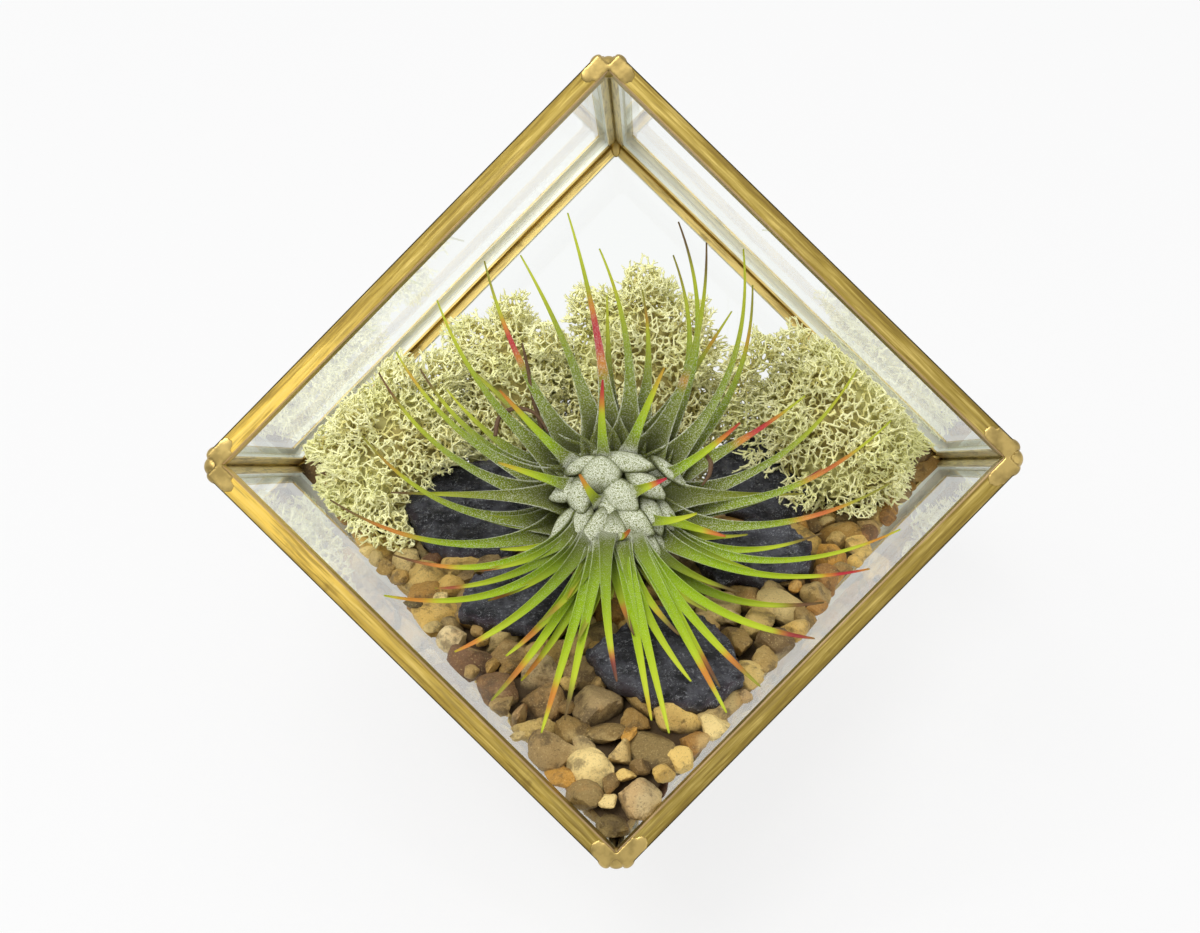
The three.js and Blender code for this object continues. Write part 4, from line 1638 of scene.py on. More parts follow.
@dataclass
class MossClumps:
    """Reindeer moss: a sponge of fine strands round each clump's core, with forked tips."""

    pitch: float = 1.27
    shake: float = 0.42
    shell: float = 2.9
    partners: int = 3
    longest: float = 2.3
    slim: float = 0.13
    stout: float = 0.30
    core: float = 0.79
    tips: int = 1150
    off_glass: float = 0.45
    off_bed: float = 0.3
    off_slate: float = 0.2
    pressed: float = 2.6  # nearer to the glass than this, the sponge lies flat
    behind: float = 2.8  # room between a clump's dark middle and the glass
    twig: float = 0.24

    def build(self) -> None:
        """Make every clump."""
        material = MossFinish().build()
        for clump in CLUMPS:
            rng = np.random.default_rng(clump.seed)
            sponge, knots, outside = self._sponge(clump, rng)
            forks = self._forks(clump, rng, knots[outside > -0.9])
            parts = [self._inside(clump), sponge.tubes(), *(fork.tubes() for fork in forks)]
            points, faces, drawn = join_parts(parts)
            piece = make_mesh(clump.node + "_sponge", points, faces, drawn)
            install(piece, "dried_moss", material, clump.node)
            log.info("%s: %d triangles", clump.node, len(faces))

    def _free(self, points: np.ndarray) -> np.ndarray:
        """Tell which points lie clear of the glass, the gravel and the slates.

        Args:
            points: the points.

        Returns:
            True for each of those points.
        """
        fine = pane_distance(points) > self.off_glass
        fine &= points[:, 2] > bed_height(points[:, 1]) + self.off_bed
        for chip in CHIPS:
            fine &= ~chip.near(points, self.off_slate)
        return fine

    def _outside(self, clump: MossClump, points: np.ndarray) -> np.ndarray:
        """How far points lie outside a clump's core, knobs and tufts.

        Args:
            clump: the clump.
            points: the points.

        Returns:
            The distance of each, in mm.
        """
        local = clump.to_local(points)
        scaled = np.maximum(np.linalg.norm(local / np.array(clump.half), axis=1), 1e-6)
        outside = np.linalg.norm(local, axis=1) * (1 - 1 / scaled)
        for knob, radius in zip(*clump.knob_places()):
            outside = np.minimum(outside, np.linalg.norm(points - knob, axis=1) - radius)
        for *middle, radius in clump.tufts:
            outside = np.minimum(outside, np.linalg.norm(points - middle, axis=1) - radius)
        return outside

    def _sponge(self, clump: MossClump, rng: np.random.Generator) -> tuple:
        """A clump's sponge.

        Args:
            clump: the clump.
            rng: its random numbers.

        Returns:
            The strands, their knots and how far each knot lies outside.
        """
        room = 1.4 * KNOB + (9.0 if clump.tufts else 0.0)
        counts = np.ceil((np.array(clump.half) + room) / self.pitch).astype(int)
        grid = np.stack(np.meshgrid(*[np.arange(-n, n + 1) for n in counts], indexing="ij"),
                        axis=-1).reshape(-1, 3)
        local = np.concatenate([grid, grid + 0.5]) * self.pitch
        local += rng.uniform(-1, 1, local.shape) * self.shake * self.pitch
        knots = clump.to_part(local)
        outside = self._outside(clump, knots)
        kept = (outside > -self.shell - 1.0) | (pane_distance(knots) < self.pressed)
        kept &= outside < 0.6
        knots, outside = knots[kept], outside[kept]
        kept = self._free(knots)
        knots, outside = knots[kept], outside[kept]
        caves = np.array([noise.noise(Vector(p / 3.6)) for p in knots])
        lumps = np.array([noise.noise(Vector(p / 2.0) + Vector((50, 0, 0))) for p in knots])
        outside = outside + 0.9 * lumps
        flat = pane_distance(knots) < self.pressed
        outside = np.where(flat, np.maximum(outside, -1.2), outside)
        kept = (outside > -self.shell) & (outside < 0.1)
        kept &= (caves < 0.45) | (outside < -2.0)
        kept &= (lumps < 0.46) | (outside < -1.6)
        knots, outside, caves = knots[kept], outside[kept], caves[kept]
        pairs = self._pairs(knots)
        # Painted shade: knots deep in the sponge and in its caves are darker.
        shade = np.clip(smoothstep(outside, -2.8, -0.5) - 0.5 * smoothstep(caves, 0.2, 0.36),
                        0.15, 1)
        size = self.slim + (self.stout - self.slim) * rng.uniform(0, 1, len(knots)) ** 1.4
        a, b = pairs[:, 0], pairs[:, 1]
        strands = Strands(knots[a], knots[b], size[a], size[b], shade[a], shade[b])
        return strands, knots, outside

    def _pairs(self, knots: np.ndarray) -> np.ndarray:
        """Pair each knot with its nearest partners.

        Args:
            knots: the knots.

        Returns:
            The pairs, as numbers of knots.
        """
        tree = kdtree.KDTree(len(knots))
        for number, knot in enumerate(knots):
            tree.insert(knot, number)
        tree.balance()
        pairs = set()
        for number, knot in enumerate(knots):
            for _, other, far in tree.find_n(knot, self.partners + 1):
                if other != number and far < self.longest:
                    pairs.add((min(number, other), max(number, other)))
        return np.array(sorted(pairs))

    def _forks(self, clump: MossClump, rng: np.random.Generator,
               knots: np.ndarray) -> list[Strands]:
        """Short forked twigs that stand out of the sponge.

        Args:
            clump: the clump.
            rng: its random numbers.
            knots: the knots that they may start from.

        Returns:
            The twigs' stems and their prongs.
        """
        start = knots[rng.permutation(len(knots))[:self.tips]]
        local = clump.to_local(start) / np.array(clump.half) ** 2
        way = unit(unit(local) @ clump.basis.T + rng.normal(0, 0.45, start.shape))
        middle = start + way * rng.uniform(0.6, 1.5, (len(start), 1))
        side = unit(np.cross(way, rng.normal(0, 1, way.shape)))
        fine = self._free(middle)
        stem = np.full(len(start), self.twig)
        shade = np.full(len(start), 0.9)
        grown = [Strands(start[fine], middle[fine], stem[fine], 0.8 * stem[fine],
                         shade[fine] - 0.15, shade[fine])]
        for lean in (-1.0, 0.15, 1.0):
            spread = lean * rng.uniform(0.5, 1.1, (len(start), 1))
            end = middle + unit(way + spread * side) * rng.uniform(0.5, 1.1, (len(start), 1))
            tip = fine & self._free(end)
            grown.append(Strands(middle[tip], end[tip], 0.75 * stem[tip], 0.45 * stem[tip],
                                 shade[tip], shade[tip] + 0.1))
        return grown

    def _inside(self, clump: MossClump) -> Body:
        """The middle of a clump under its sponge, coloured in painted shade.

        Args:
            clump: the clump.

        Returns:
            Its points, faces and drawn numbers.
        """
        ball, faces = BALLS[4]
        bumps = np.array([noise.fractal(Vector(p * 5.0), 0.6, 2.1, 4) for p in ball])
        points = clump.to_part(ball * np.array(clump.half) * (self.core + 0.07 * bumps)[:, None])
        points = pressed_inside(points, PANES, self.behind)
        return points, faces, {"depth": np.zeros(len(points))}


# ---------------------------------------------------------------------------
class Habit(Enum):
    """How a leaf of the rosette grows."""

    LONG = 1
    UNDER = 2
    HEART = 3


@dataclass
class Leaf:
    """A leaf: its guide point and tip from the heart's middle (right, up, out), in mm."""

    guide: np.ndarray
    tip: np.ndarray
    habit: Habit
    number: int

    @property
    def away(self) -> np.ndarray:
        """The flat direction from the heart's middle to the tip."""
        return unit(self.tip[:2])


@dataclass
class LeafPath:
    """Points worked out along a leaf."""

    at: np.ndarray
    side: np.ndarray
    upper: np.ndarray
    along: np.ndarray
    gone: np.ndarray


@dataclass
class AirPlant:
    """The rosette: long leaves, leaves hidden under them and the heart's short ones."""

    middle: Triple = (-0.8, 0.3, 54)
    core: float = 8.4
    scales: float = 11.6
    under: int = 9
    seed: int = 7
    tip: float = 0.6
    blade: float = 1.9
    flare: float = 7.0
    flare_fall: float = 8.0
    bow: float = 0.08
    rear: float = 0.2
    tip_lean: float = 0.3
    root: float = 14.0  # length from the heart's middle that may touch its neighbours
    free: float = 0.9  # clearance of the rest from everything
    over_bed: float = 1.2  # more over the gravel
    inside_rim: float = 1.0  # more behind the open side
    lean_step: float = 1.5
    lean_tries: int = 21
    sizes: tuple[float, ...] = (1, 0.96, 0.92, 0.86, 0.78, 0.7)  # shares of its length tried
    curl_points: int = 25
    heart_blade: float = 2.6
    heart_flare: float = 1.5
    bud_scales: int = 54
    steps: int = 20
    fine_steps: int = 34
    across: int = 9
    long_leaves: tuple = (
        (-8, 54, 0, -2), (-2, 47, 2, -4.5), (-17, 46, 1, -2), (-25, 47, -1, 3.3), (-34, 39, 5, 5),
        (-41, 28, -1, 6), (-46, 25, 1, 8), (-37, 25, -7, 5), (-32, 21, -9, 3), (-47, 12, 5, 9),
        (6, 40, -11, -3.5), (12, 46, -3, -8), (13, 52, 1, -9), (18, 47, 13, -5), (26, 48, 9, -9),
        (27, 40, -1, -8), (37, 19, -5, -2), (47, 24, -5, -8), (53, 14, -1, -7.4),
        (52, 2, 3, -6.5), (40, 5, -3, -4.8), (52, -6, 25, -8.5), (47, -13, 42, -7),
        (40, -20, 22, -8), (35, -24, 44, -6), (39, -7, 6, -6), (25, -7, 14, -3), (31, -15, 16, -2),
        (27, -34, 38, -2), (20, -37, 38, 0), (19, -33, 33, 0), (14, -32, 32, -2.5),
        (1, -32, 30, -1.5), (7, -38, 40, 0), (10, -40, 42, 0), (-8, -38, 38, 0), (-11, -37, 36, 0),
        (-12, -40, 41, 0), (-16, -32, 29, 2.6), (-21, -35, 34, 2.5), (-19, -28, 23, 3),
        (-28, -27, 24, 3.7), (-41, -17, 38, 8), (-32, -16, 18, 4.4), (-25, -13, 17, 3),
        (-40, -10, 12, 6.5), (-53, 0, 6, 8.5), (-33, 0, 5, 4.5),
    )
    # Leaves of the looks alone, which fill the fan below the heart
    fan_leaves: tuple = (
        (-6, -25, 33, 1.8), (4, -24, 32, -1.6), (12, -24, 32, -2.6), (-13, -22, 30, 2.8),
        (17, -20, 28, -3), (-22, -18, 25, 3.2), (23, -17, 25, -3.2), (0, -18, 25, 1),
        (8, -17, 24, -0.5), (-8, -18, 25, 0.5),
    )
    # Dry brown leaves: places to the right, up and out from the heart's middle
    curls: tuple = (
        ((-21.8, 11.8, 6), (-21.4, 15.4, 5), (-18.2, 17.2, 5), (-14.2, 16.2, 5), (-12, 12.5, 5)),
        ((-13.2, 13, 3), (-14.8, 19, 3), (-15.6, 24, 4), (-16.6, 29, 6)),
        ((17.4, 8.2, 9), (18.6, 6.2, 10), (18.2, 4, 10), (16.9, 2.2, 9.5)),
    )
    dome: float = 11.0
    # Felted leaf bases: place to the right and up, way in degrees, length and width
    pillows: tuple = (
        (2.9, 6.5, -15, 6.6, 3.6), (-1.9, 4.3, 90, 4.4, 6), (-5.8, 6, 10, 4.6, 2.6),
        (1.6, 0.4, -45, 5.5, 4.6), (6.3, 2.3, -35, 5.6, 3.6), (10.7, 4.7, -35, 5.5, 2.6),
        (-5.8, 0.4, -75, 4.6, 4.4), (-0.7, -2, -60, 4.4, 2.8), (3.9, -4.3, -35, 5.6, 4.0),
        (7.4, -3.3, -65, 5, 3.2), (10.2, -3.5, -60, 4.4, 2.6), (0.5, -7.6, -85, 6.4, 4.2),
        (-6.3, -5.6, -115, 7, 3.4), (-3.2, -6.1, -120, 7, 3.2), (6.3, -8.1, -55, 6.5, 2.8),
        (8.2, -8.6, -60, 6, 2.4), (-8.8, 1, 200, 4, 3), (-8.6, -4.9, -130, 5.5, 3),
        (-9.9, -7.6, -128, 7.8, 2.9), (-7.2, -9.0, -121, 8.4, 3.0), (-4.1, -9.8, -108, 7.6, 3.0),
        (1.9, -11.4, -84, 5.8, 2.4), (5.2, -10.9, -72, 6.6, 2.4), (8.4, -10.6, -64, 6.6, 2.3),
        (11.6, -7.4, -42, 6.4, 2.6),
    )
    # How much the heart's tips flush, and where, how far and how much the long leaves do
    heart_flush: tuple = (0.9, 0.35, 0.8, 1.0, 0.5, 0.3, 0.5, 0.15, 0.7, 0.7, 0.1, 0.1)
    streaks: dict[int, Triple] = field(default_factory=lambda: {
        0: (0.56, 0.12, 1.0), 3: (0.68, 0.09, 0.9), 13: (0.50, 0.04, 0.35), 16: (0.74, 0.12, 0.9),
        20: (0.93, 0.08, 1.0), 18: (0.75, 0.10, 0.7), 19: (0.75, 0.10, 0.7), 23: (0.92, 0.06, 0.4),
        24: (0.94, 0.06, 1.0), 21: (0.93, 0.05, 0.5), 22: (0.93, 0.07, 1.0), 47: (0.85, 0.12, 0.6),
        45: (0.85, 0.12, 0.6), 46: (0.80, 0.12, 0.55), 32: (0.92, 0.08, 0.9),
        41: (0.93, 0.07, 0.6), 42: (0.90, 0.08, 0.5), 43: (0.93, 0.06, 0.8),
        44: (0.92, 0.07, 0.6),
    })
    heart_leaves: tuple = (
        (-1.7, 5.2, -1.4, 21.8, 15), (2.5, 7.4, 10, 24, 13), (9.3, 2.5, 23.8, 13.6, 14),
        (1.8, 0.1, 10.2, 3.5, 15), (-1.2, -3, -5.8, 4.4, 16), (-5.6, 1.5, -20.9, 6.7, 13),
        (-7.3, 5.7, -20.7, 20.2, 10), (4.6, -5.1, 15.7, -3, 15), (8, -3.5, 21, -7.3, 13),
        (0.3, -7.9, 3.3, -5.9, 16), (-3.9, -7.5, -20.7, -9.3, 13), (-1.3, -10, -2.3, -14.5, 13),
    )

    def build(self) -> None:
        """Make the plant."""
        material = LeafFinish().build()
        parts = [self._core(), *self._root_scales(), *(self._pillow(row) for row in self.pillows),
                 *(self._curl(line) for line in self.curls)]
        for leaf in self._leaves():
            path = (self._leaf_path(leaf, self.steps) if leaf.habit is Habit.HEART
                    else self._settled(leaf))
            if path is not None:
                parts.append(self._blade(leaf, path))
        points, faces, drawn = join_parts(parts)
        piece = make_mesh("air_plant_leaves", points, faces, drawn)
        install(piece, "leaves", material, "air_plant")
        log.info("air plant: %d leaves, %d triangles", len(parts) - 1, len(faces))

    def _from_heart(self, offset: np.ndarray) -> np.ndarray:
        """A place given to the right, up and out from the heart's middle."""
        return np.array(self.middle) + np.asarray(offset) @ VIEWER

    def _long(self, right: float, up: float, out: float, bow: float, habit: Habit,
              number: int) -> Leaf:
        """A long leaf from its tip's place and its bow.

        Args:
            right: the tip's place to the right of the heart's middle, in mm.
            up: its place up.
            out: its place towards the viewer.
            bow: how far the leaf bows to the left of its way.
            habit: how the leaf grows.
            number: its number.

        Returns:
            The leaf.
        """
        length = math.sqrt(right ** 2 + up ** 2 + out ** 2)
        flat = math.hypot(right, up)
        lean = self.bow * length - self.rear * out
        guide = np.array([right / 2 - 2 * bow * up / flat, up / 2 + 2 * bow * right / flat,
                          out / 2 + 2 * lean])
        return Leaf(guide, np.array([right, up, out], float), habit, number)

    def _leaves(self) -> list[Leaf]:
        """All the leaves, as the part places them.

        Returns:
            The leaves.
        """
        rows = (*self.long_leaves, *self.fan_leaves)
        leaves = [self._long(*row, Habit.LONG, n) for n, row in enumerate(rows)]
        random = Repeatable(self.seed)
        for index in range(self.under):
            turn = 2 * math.pi * (index + 0.6 * random()) / self.under
            length = 36 + 12 * random()
            out = -3 - 8 * random()
            leaves.append(self._long(length * math.cos(turn), length * math.sin(turn), out, 0,
                                     Habit.UNDER, index))
        for n, (right, up, tip_right, tip_up, tip_out) in enumerate(self.heart_leaves):
            out = math.sqrt(self.scales ** 2 - right ** 2 - up ** 2)
            leaves.append(Leaf(1.35 * np.array([right, up, out]),
                               np.array([tip_right, tip_up, tip_out], float), Habit.HEART, n))
        return leaves

    def _leaf_path(self, leaf: Leaf, steps: int, lift: float = 0.0,
                   shrink: float = 1.0) -> LeafPath:
        """Work out a leaf's points.

        Args:
            leaf: the leaf.
            steps: number of stretches.
            lift: how far it leans out, in mm.
            shrink: its size.

        Returns:
            The path.
        """
        root = self._from_heart(np.zeros(3))
        guide = self._from_heart(shrink * leaf.guide + np.array([0, 0, lift]))
        tip = self._from_heart(shrink * leaf.tip + np.array([0, 0, self.tip_lean * lift]))
        along = np.linspace(0, 1, steps + 1)
        t = along[:, None]
        at = (1 - t) ** 2 * root + 2 * t * (1 - t) * guide + t ** 2 * tip
        ahead = unit(2 * (1 - t) * (guide - root) + 2 * t * (tip - guide))
        gone = np.concatenate([[0], np.cumsum(np.linalg.norm(np.diff(at, axis=0), axis=1))])
        inwards = OUT - 0.5 * leaf.away[0] * RIGHT - 0.5 * leaf.away[1] * UP
        side = unit(np.cross(ahead, inwards))
        return LeafPath(at, side, np.cross(side, ahead), along, gone)

    def _shown_width(self, leaf: Leaf, path: LeafPath) -> np.ndarray:
        """A leaf's width as it's drawn, slimmer than the room it's given.

        Args:
            leaf: the leaf.
            path: its path.

        Returns:
            The width along the path, in mm.
        """
        if leaf.habit is Habit.HEART:
            flare = self.heart_flare * np.exp(-np.maximum(0, path.gone - self.scales) / 2.6)
            return 0.35 + self.heart_blade * (1 - path.along) ** 0.8 + flare
        rolled = self._rolled(leaf)
        low = float(smoothstep(-leaf.tip[1], 6.0, 26.0))
        flare = self.flare * np.exp(-np.maximum(0, path.gone - self.scales) / 5.6)
        narrowed = np.minimum(1, 2.5 * (1 - path.along)) * (0.84 - 0.50 * rolled)
        blade = self.blade * (1 + 0.30 * low) * (1 - path.along) ** (1 - 0.32 * low)
        return 0.3 + blade + flare * narrowed

    @staticmethod
    def _rolled(leaf: Leaf) -> float:
        """How far a leaf's base is a rolled and felted cushion.

        Args:
            leaf: the leaf.

        Returns:
            1 at the heart's lower front, 0 far from it.
        """
        if leaf.habit is Habit.HEART:
            return 1.0
        if leaf.habit is Habit.UNDER:
            return 0.0
        low = smoothstep(-leaf.tip[1], 6.0, 18.0)
        return float(low * smoothstep(leaf.tip[2], 8.0, 20.0))

    def _width(self, along: np.ndarray, gone: np.ndarray) -> np.ndarray:
        """The room that a leaf is given, as a width along it."""
        flare = self.flare * np.exp(-np.maximum(0, gone - self.scales) / self.flare_fall)
        return self.tip + self.blade * (1 - along) + flare * np.minimum(1, 2.5 * (1 - along))

    def _clear(self, path: LeafPath) -> bool:
        """Tell whether a leaf lies clear of the glass, the gravel, the slates and the moss.

        Args:
            path: its path.

        Returns:
            Whether it does.
        """
        rest = path.gone > self.root
        at = path.at[rest]
        room = 0.5 * self._width(path.along, path.gone)[rest] + self.free
        if (pane_distance(at) < room).any():
            return False
        if (OPEN_SIDE.distance(at) < room + self.inside_rim).any():
            return False
        if (at[:, 2] - bed_height(at[:, 1]) < room + self.over_bed).any():
            return False
        if any(chip.near(at, room + GAP).any() for chip in CHIPS):
            return False
        return not any(clump.near(at, room).any() for clump in CLUMPS)

    def _settled(self, leaf: Leaf) -> LeafPath | None:
        """Lean a leaf out until it's clear, or make it shorter.

        Args:
            leaf: the leaf.

        Returns:
            Its path, or None if it never comes clear.
        """
        for shrink in self.sizes:
            for step in range(self.lean_tries):
                lift = self.lean_step * step
                if self._clear(self._leaf_path(leaf, self.steps, lift, shrink)):
                    return self._leaf_path(leaf, self.fine_steps, lift, shrink)
        return None

    def _core(self) -> Body:
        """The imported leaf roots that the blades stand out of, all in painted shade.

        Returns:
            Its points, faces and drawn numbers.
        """
        ball, faces = BALLS[3]
        points = ball * (self.core + 0.3) + np.array(self.middle)
        count = len(points)
        return points, faces, {**self._plain_colours(count, 0.1, 0.25), "painted_shade": np.ones(count)}

    @staticmethod
    def _plain_colours(count: int, lime: float, hoar: float | np.ndarray) -> dict[str, np.ndarray]:
        """The numbers that colour a part of the heart that's no blade.

        Args:
            count: how many points it has.
            lime: how lime it is.
            hoar: how felted.

        Returns:
            The numbers, by name.
        """
        none = np.zeros(count)
        return {"along": none, "across": none, "lime": np.full(count, lime), "flush": none,
                "hoar": none + hoar, "dry": none, "painted_shade": none}

    def _curl(self, line: tuple) -> Body:
        """One dry leaf, curled along a line.

        Args:
            line: places to the right, up and out from the heart's middle.

        Returns:
            Its points, faces and drawn numbers.
        """
        places = np.array(line, float)
        at = np.linspace(0, len(places) - 1, self.curl_points)
        smooth = np.stack([np.interp(at, range(len(places)), places[:, k]) for k in range(3)], 1)
        for _ in range(6):
            smooth[1:-1] = (smooth[:-2] + 2 * smooth[1:-1] + smooth[2:]) / 4
        points = self._from_heart(smooth)
        thick = 0.42 * (1 - np.linspace(-0.4, 0.85, self.curl_points) ** 2) + 0.06
        strand = Strands(points[:-1], points[1:], thick[:-1], thick[1:], thick[1:], thick[1:])
        spots, faces, _ = strand.tubes(5)
        drawn = self._plain_colours(len(spots), 0.1, 0.12)
        return spots, faces, {**drawn, "along": drawn["along"] + 0.97, "dry": drawn["dry"] + 0.95}

    def _pillow(self, row: tuple) -> Body:
        """One felted leaf base on the heart's front.

        Args:
            row: its place to the right and up, its way, length and width.

        Returns:
            Its points, faces and drawn numbers.
        """
        right, up, way, length, width = row
        rise = math.sqrt(max(0.0, 1 - (right / 14.5) ** 2 - (up / 13.0) ** 2))
        place = np.array([right, up, self.dome * rise + 0.42 * max(0.0, -up - 2.0)])
        over = unit(place / np.array([13.5, 11.5, self.dome]) ** 2)
        turn = math.radians(way)
        ahead = np.array([math.cos(turn), math.sin(turn), 0.0])
        ahead = unit(ahead - (0.45 if up < -3 else 1.0) * over * float(ahead @ over))
        return self._scale(place, over, ahead, 0.80 * length, 0.66 * width, 4, up < -6.5)

    def _root_scales(self) -> list[Body]:
        """Small leaf bases round the sides and the back of the core, like those of a bud.

        Returns:
            Each one's points, faces and drawn numbers.
        """
        rng = np.random.default_rng(self.seed)
        made = []
        for i in range(self.bud_scales):
            out = 0.35 - 1.3 * (i + 0.5) / self.bud_scales
            turn = i * GOLDEN_ANGLE
            ring = math.sqrt(1 - out * out)
            over = np.array([ring * math.cos(turn), ring * math.sin(turn), out])
            ahead = unit(np.array([0.0, 0.0, 1.0]) - over * out)
            size = rng.uniform(0.85, 1.15)
            made.append(self._scale(self.core * over, over, ahead, 4.2 * size, 2.9 * size, 3))
        return made

    def _scale(self, place: np.ndarray, over: np.ndarray, ahead: np.ndarray, length: float,
               width: float, level: int, greens: bool = False) -> tuple:
        """A leaf base like a bud's scale: a pointed lens whose tip stands off.

        Args:
            place: its middle, from the heart's middle.
            over: the direction out of the heart.
            ahead: the direction of its tip.
            length: half its length, in mm.
            width: half its width, in mm.
            level: how fine its mesh is.
            greens: whether its tip turns green.

        Returns:
            Its points, faces and drawn numbers.
        """
        ball, faces = BALLS[level]
        side = unit(np.cross(over, ahead))
        x, y, z = ball.T
        slim = 1 - 0.42 * np.maximum(x, 0) ** 1.5 - 0.12 * np.maximum(-x, 0)
        lens = np.sign(z) * np.maximum(0, 1 - x ** 2 - y ** 2) ** 0.72
        keel = 0.14 * (1 - np.abs(y)) * (z > 0)
        shaped = (np.outer(x, ahead) * length + np.outer(y * slim, side) * width
                  + np.outer(lens + keel, over) * width * 0.62 + np.outer(0.75 * x, over))
        seed = Vector((float(place[0]), float(place[1]), 0.0))
        bumps = np.array([noise.noise(Vector(p * 2.3) + seed) for p in ball])
        shaped *= (1 + 0.07 * bumps)[:, None]
        points = self._from_heart(place + shaped)
        tip = smoothstep(x, 0.25, 1.0) if greens else 0.0 * x
        felt = (0.70 + 0.28 * smoothstep(lens, 0.2, 0.8)) * (1 - 0.7 * tip)
        drawn = {**self._plain_colours(len(points), 0.0, felt), "lime": 0.9 * tip}
        # Painted shade under the scale's rims and underside and at its root end.
        painted_shade = np.maximum(smoothstep(lens, 0.44, 0.04), 0.75 * smoothstep(-x, 0.40, 1.0))
        return points, faces, {**drawn, "painted_shade": painted_shade}

    def _blade(self, leaf: Leaf, path: LeafPath) -> Body:
        """A leaf's blade: a shallow channel, thick at its root and thin at its margins.

        Args:
            leaf: the leaf.
            path: its path.

        Returns:
            Its points, faces and drawn numbers.
        """
        rng = np.random.default_rng(97 * leaf.number + 1000 * leaf.habit.value)
        heart, rolled = leaf.habit is Habit.HEART, self._rolled(leaf)
        half = 0.5 * self._shown_width(leaf, path)[:, None]
        x = np.linspace(-1, 1, self.across)[None, :]
        knee = rolled * smoothstep(path.gone, 15 if heart else 22, 11)[:, None]
        hollow = (0.5 * (1 - knee) - 0.30 * knee) * half
        thick = np.minimum(0.28 * half + 0.16, 0.95) + knee * 0.8
        upper = hollow * x ** 2
        lower = upper - thick * np.sqrt(np.maximum(0, 1 - (0.98 * x) ** 2)) - 0.05
        ridges = 0.02 * half * np.sin(9 * x * math.pi / 2)
        wave = 0.1 * half * np.sin(path.gone[:, None] * 0.45 + rng.uniform(0, 6)) * x
        rows = [upper + ridges + wave, (lower + wave)[:, ::-1]]
        side_up = x * half
        side_down = side_up[:, ::-1]
        ring = (path.at[:, None, :]
                + np.concatenate([side_up, side_down], axis=1)[..., None] * path.side[:, None, :]
                + np.concatenate(rows, axis=1)[..., None] * path.upper[:, None, :])
        count = 2 * self.across
        points = ring.reshape(-1, 3)
        index = np.arange(len(points)).reshape(-1, count)
        a, b = index[:-1], index[1:]
        quads = np.stack([a, np.roll(a, -1, axis=1), np.roll(b, -1, axis=1), b], axis=-1)
        last = index[-1]
        cap = np.array([[last[0], last[k], last[k + 1]] for k in range(1, count - 1)])
        faces = np.concatenate([to_triangles(quads.reshape(-1, 4)), cap])
        return points, faces, self._colours(leaf, path, x, rng)

    def _painted_shade(self, leaf: Leaf, path: LeafPath, x: np.ndarray) -> np.ndarray:
        """The painted shade on a blade: in its channel and on its underside near the heart, and on
        long leaves that lie under others.

        Args:
            leaf: the leaf.
            path: its path.
            x: places across the blade, from -1 to 1.

        Returns:
            The darkness of each of its points.
        """
        near = smoothstep(path.gone, 22.0, 12.5)[:, None]
        rolled = self._rolled(leaf)
        behind = float(smoothstep(-leaf.tip[2], -40.0, -28.0))
        upper = near * (1 - rolled) * (1 - 0.8 * x ** 2)
        if leaf.habit is Habit.LONG:
            under_others = rolled * (0.18 + 0.46 * behind)
            upper = upper + under_others * smoothstep(path.gone, 50.0, 17.0)[:, None]
        return np.concatenate([upper, 0 * upper + 0.7 * near], axis=1).ravel()

    def _colours(self, leaf: Leaf, path: LeafPath, x: np.ndarray,
                 rng: np.random.Generator) -> dict[str, np.ndarray]:
        """The numbers that colour a blade.

        Args:
            leaf: the leaf.
            path: its path.
            x: places across the blade, from -1 to 1.
            rng: the leaf's random numbers.

        Returns:
            The numbers at each of its points, by name.
        """
        count = 2 * self.across
        rows = len(path.along)
        along = np.repeat(path.along, count)
        shown = np.repeat(smoothstep(path.gone, 10, 14), count)
        across = np.tile(np.concatenate([x[0], x[0, ::-1]]), rows) * shown
        up = float(leaf.tip[1]) / 50
        heart = leaf.habit is Habit.HEART
        fresh = 0.25 + 0.75 * smoothstep(-up, -0.3, 0.45) + rng.uniform(-0.22, 0.06)
        lime = fresh * smoothstep(path.gone, 11, 30) + 0.25 * smoothstep(path.gone, 16, 40)
        if leaf.habit is Habit.UNDER:
            lime = 0.15 * smoothstep(path.gone, 16, 40)
        if heart:
            lime = smoothstep(path.gone, 12.5, 19)
        rolled = self._rolled(leaf)
        base = 0.45 + 0.5 * rolled
        hoar = base * smoothstep(path.gone, 15 if heart else 19 + 5 * rolled, 10.5 + 2 * rolled)
        hoar = np.maximum(hoar, (0.55 - 0.30 * fresh) * (1 - smoothstep(path.along, 0.4, 0.9)))
        flushes = [0.1, 0.3, 0.55] if leaf.tip[1] < -15 else [0.0, 0.15, 0.35]
        centre, spread, strength = rng.uniform(0.8, 0.95), 0.07, rng.choice(flushes)
        if leaf.habit is Habit.LONG:
            centre, spread, strength = self.streaks.get(leaf.number, (centre, spread, strength))
        flush = strength * np.exp(-((path.along - centre) / spread) ** 2)
        if heart:
            flush = self.heart_flush[leaf.number] * smoothstep(path.along, 0.72, 0.95)
        dry = 0.0 if heart else rng.choice([0.0, 0.5, 0.9])
        return {"along": along, "across": across, "lime": np.repeat(lime, count),
                "flush": np.repeat(flush, count), "hoar": np.repeat(hoar, count),
                "dry": np.full(len(along), dry), "painted_shade": self._painted_shade(leaf, path, x)}


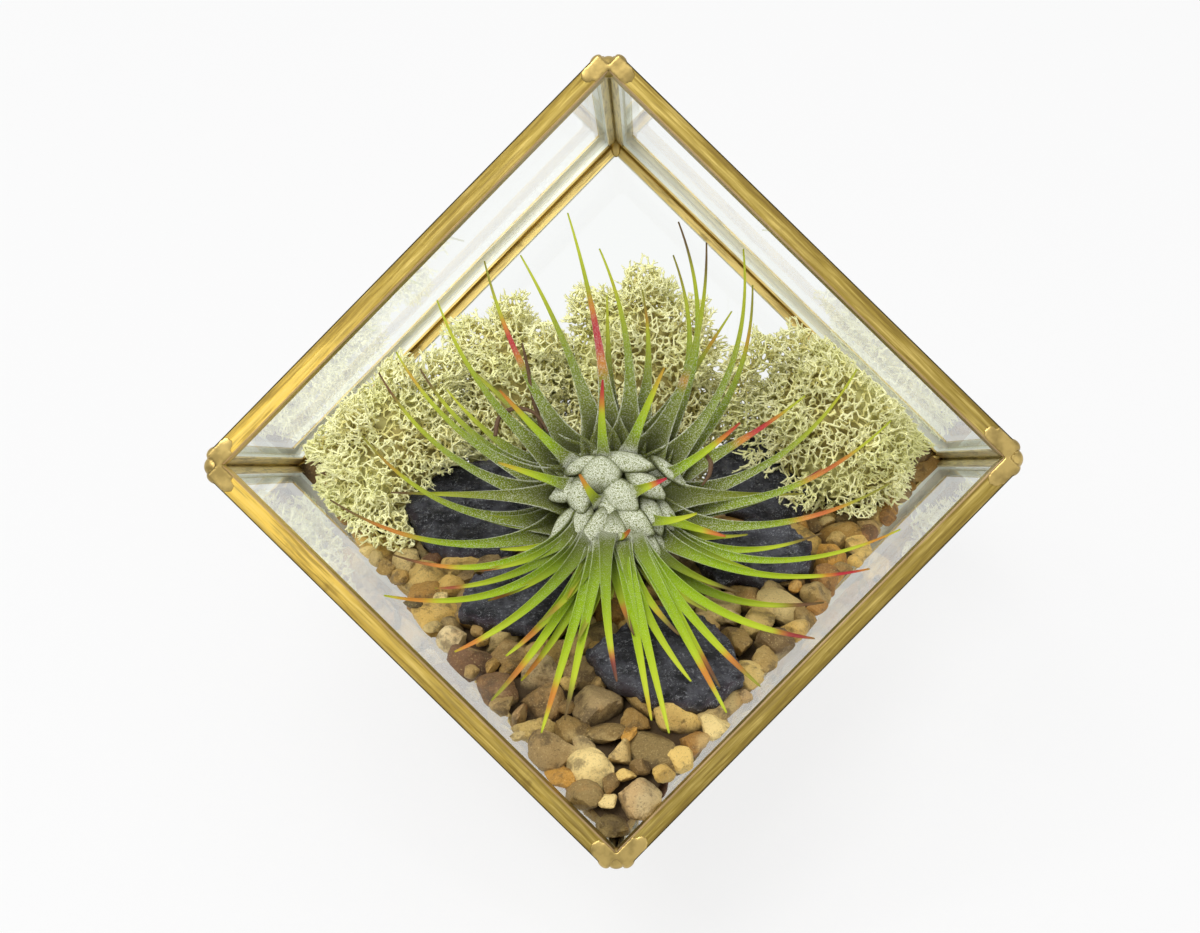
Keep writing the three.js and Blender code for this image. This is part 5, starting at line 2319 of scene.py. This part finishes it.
# ---------------------------------------------------------------------------
@dataclass
class Studio:
    """The camera, the lights and a pale floor."""

    lens: float = 79.17
    distance: float = 446.0
    shift_right: float = 37.7 / 5.92
    shift_up: float = -5.0 / 5.92
    yaw: float = math.atan(50 / 2639)
    roll: float = math.radians(0.55)

    def build(self) -> None:
        """Make them all."""
        self._camera()
        self._lights()
        self._floor()

    def _camera(self) -> None:
        """The camera looks into the open face, turned a little to the left."""
        place = (to_world((EDGE, EDGE / 2, EDGE / 2)) + RIGHT * self.shift_right
                 + UP * self.shift_up + OUT * self.distance)
        ahead = unit(-OUT * math.cos(self.yaw) - RIGHT * math.sin(self.yaw))
        side = unit(np.cross(ahead, UP))
        over = np.cross(side, ahead)
        x = side * math.cos(self.roll) - over * math.sin(self.roll)
        y = side * math.sin(self.roll) + over * math.cos(self.roll)
        data = bpy.data.cameras.new("camera")
        data.sensor_width, data.lens, data.clip_start = 36.0, self.lens, 0.01
        camera = add_object("camera", data)
        turn = to_matrix(np.stack([x, y, -ahead], axis=1))
        camera.matrix_world = Matrix.Translation(Vector(place * MM)) @ turn.to_4x4()
        bpy.context.scene.camera = camera

    def _lights(self) -> None:
        """A bright even surround, a large soft key from the upper left and a weak fill."""
        world = bpy.data.worlds.new("surround")
        world.use_nodes = True
        back = world.node_tree.nodes["Background"]
        back.inputs["Color"].default_value = (1.0, 1.0, 1.0, 1.0)
        back.inputs["Strength"].default_value = 0.78
        bpy.context.scene.world = world
        for name, at, size, watts in (
            ("key", (-0.34, -0.40, 1.05), 0.55, 9.0), ("fill", (0.8, -0.6, 0.5), 0.9, 1.5),
        ):
            data = bpy.data.lights.new(name, "AREA")
            data.size, data.energy = size, watts
            light = add_object(name, data)
            light.location = at
            aim = Vector((0, 0, 0.05)) - Vector(at)
            light.rotation_euler = aim.to_track_quat("-Z", "Y").to_euler()
        bpy.context.scene.view_settings.view_transform = "Standard"

    def _floor(self) -> None:
        """The pale floor that the terrarium stands on."""
        reach = 4000.0
        points = np.array([(-reach, -reach, 0), (reach, -reach, 0), (reach, reach, 0),
                           (-reach, reach, 0)], float)
        floor = make_mesh("floor", points, np.array([[0, 1, 2, 3]]), smooth=False)
        floor.data.materials.append(FloorFinish().build())


def main() -> None:
    """Build every piece and note the sizes."""
    logging.basicConfig(level=logging.INFO, format="%(name)s: %(message)s")
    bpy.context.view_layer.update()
    for name, work in (
        ("studio", Studio().build), ("brass frame", BrassFrame().dress), ("panes", Panes().dress),
        ("solder joints", SolderJoints().build), ("slate chips", SlateChips().build),
        ("gravel bed", GravelBed().build), ("moss clumps", MossClumps().build),
        ("air plant", AirPlant().build),
    ):
        work()
        log.info("%s made", name)


if __name__ == "__main__":
    main()
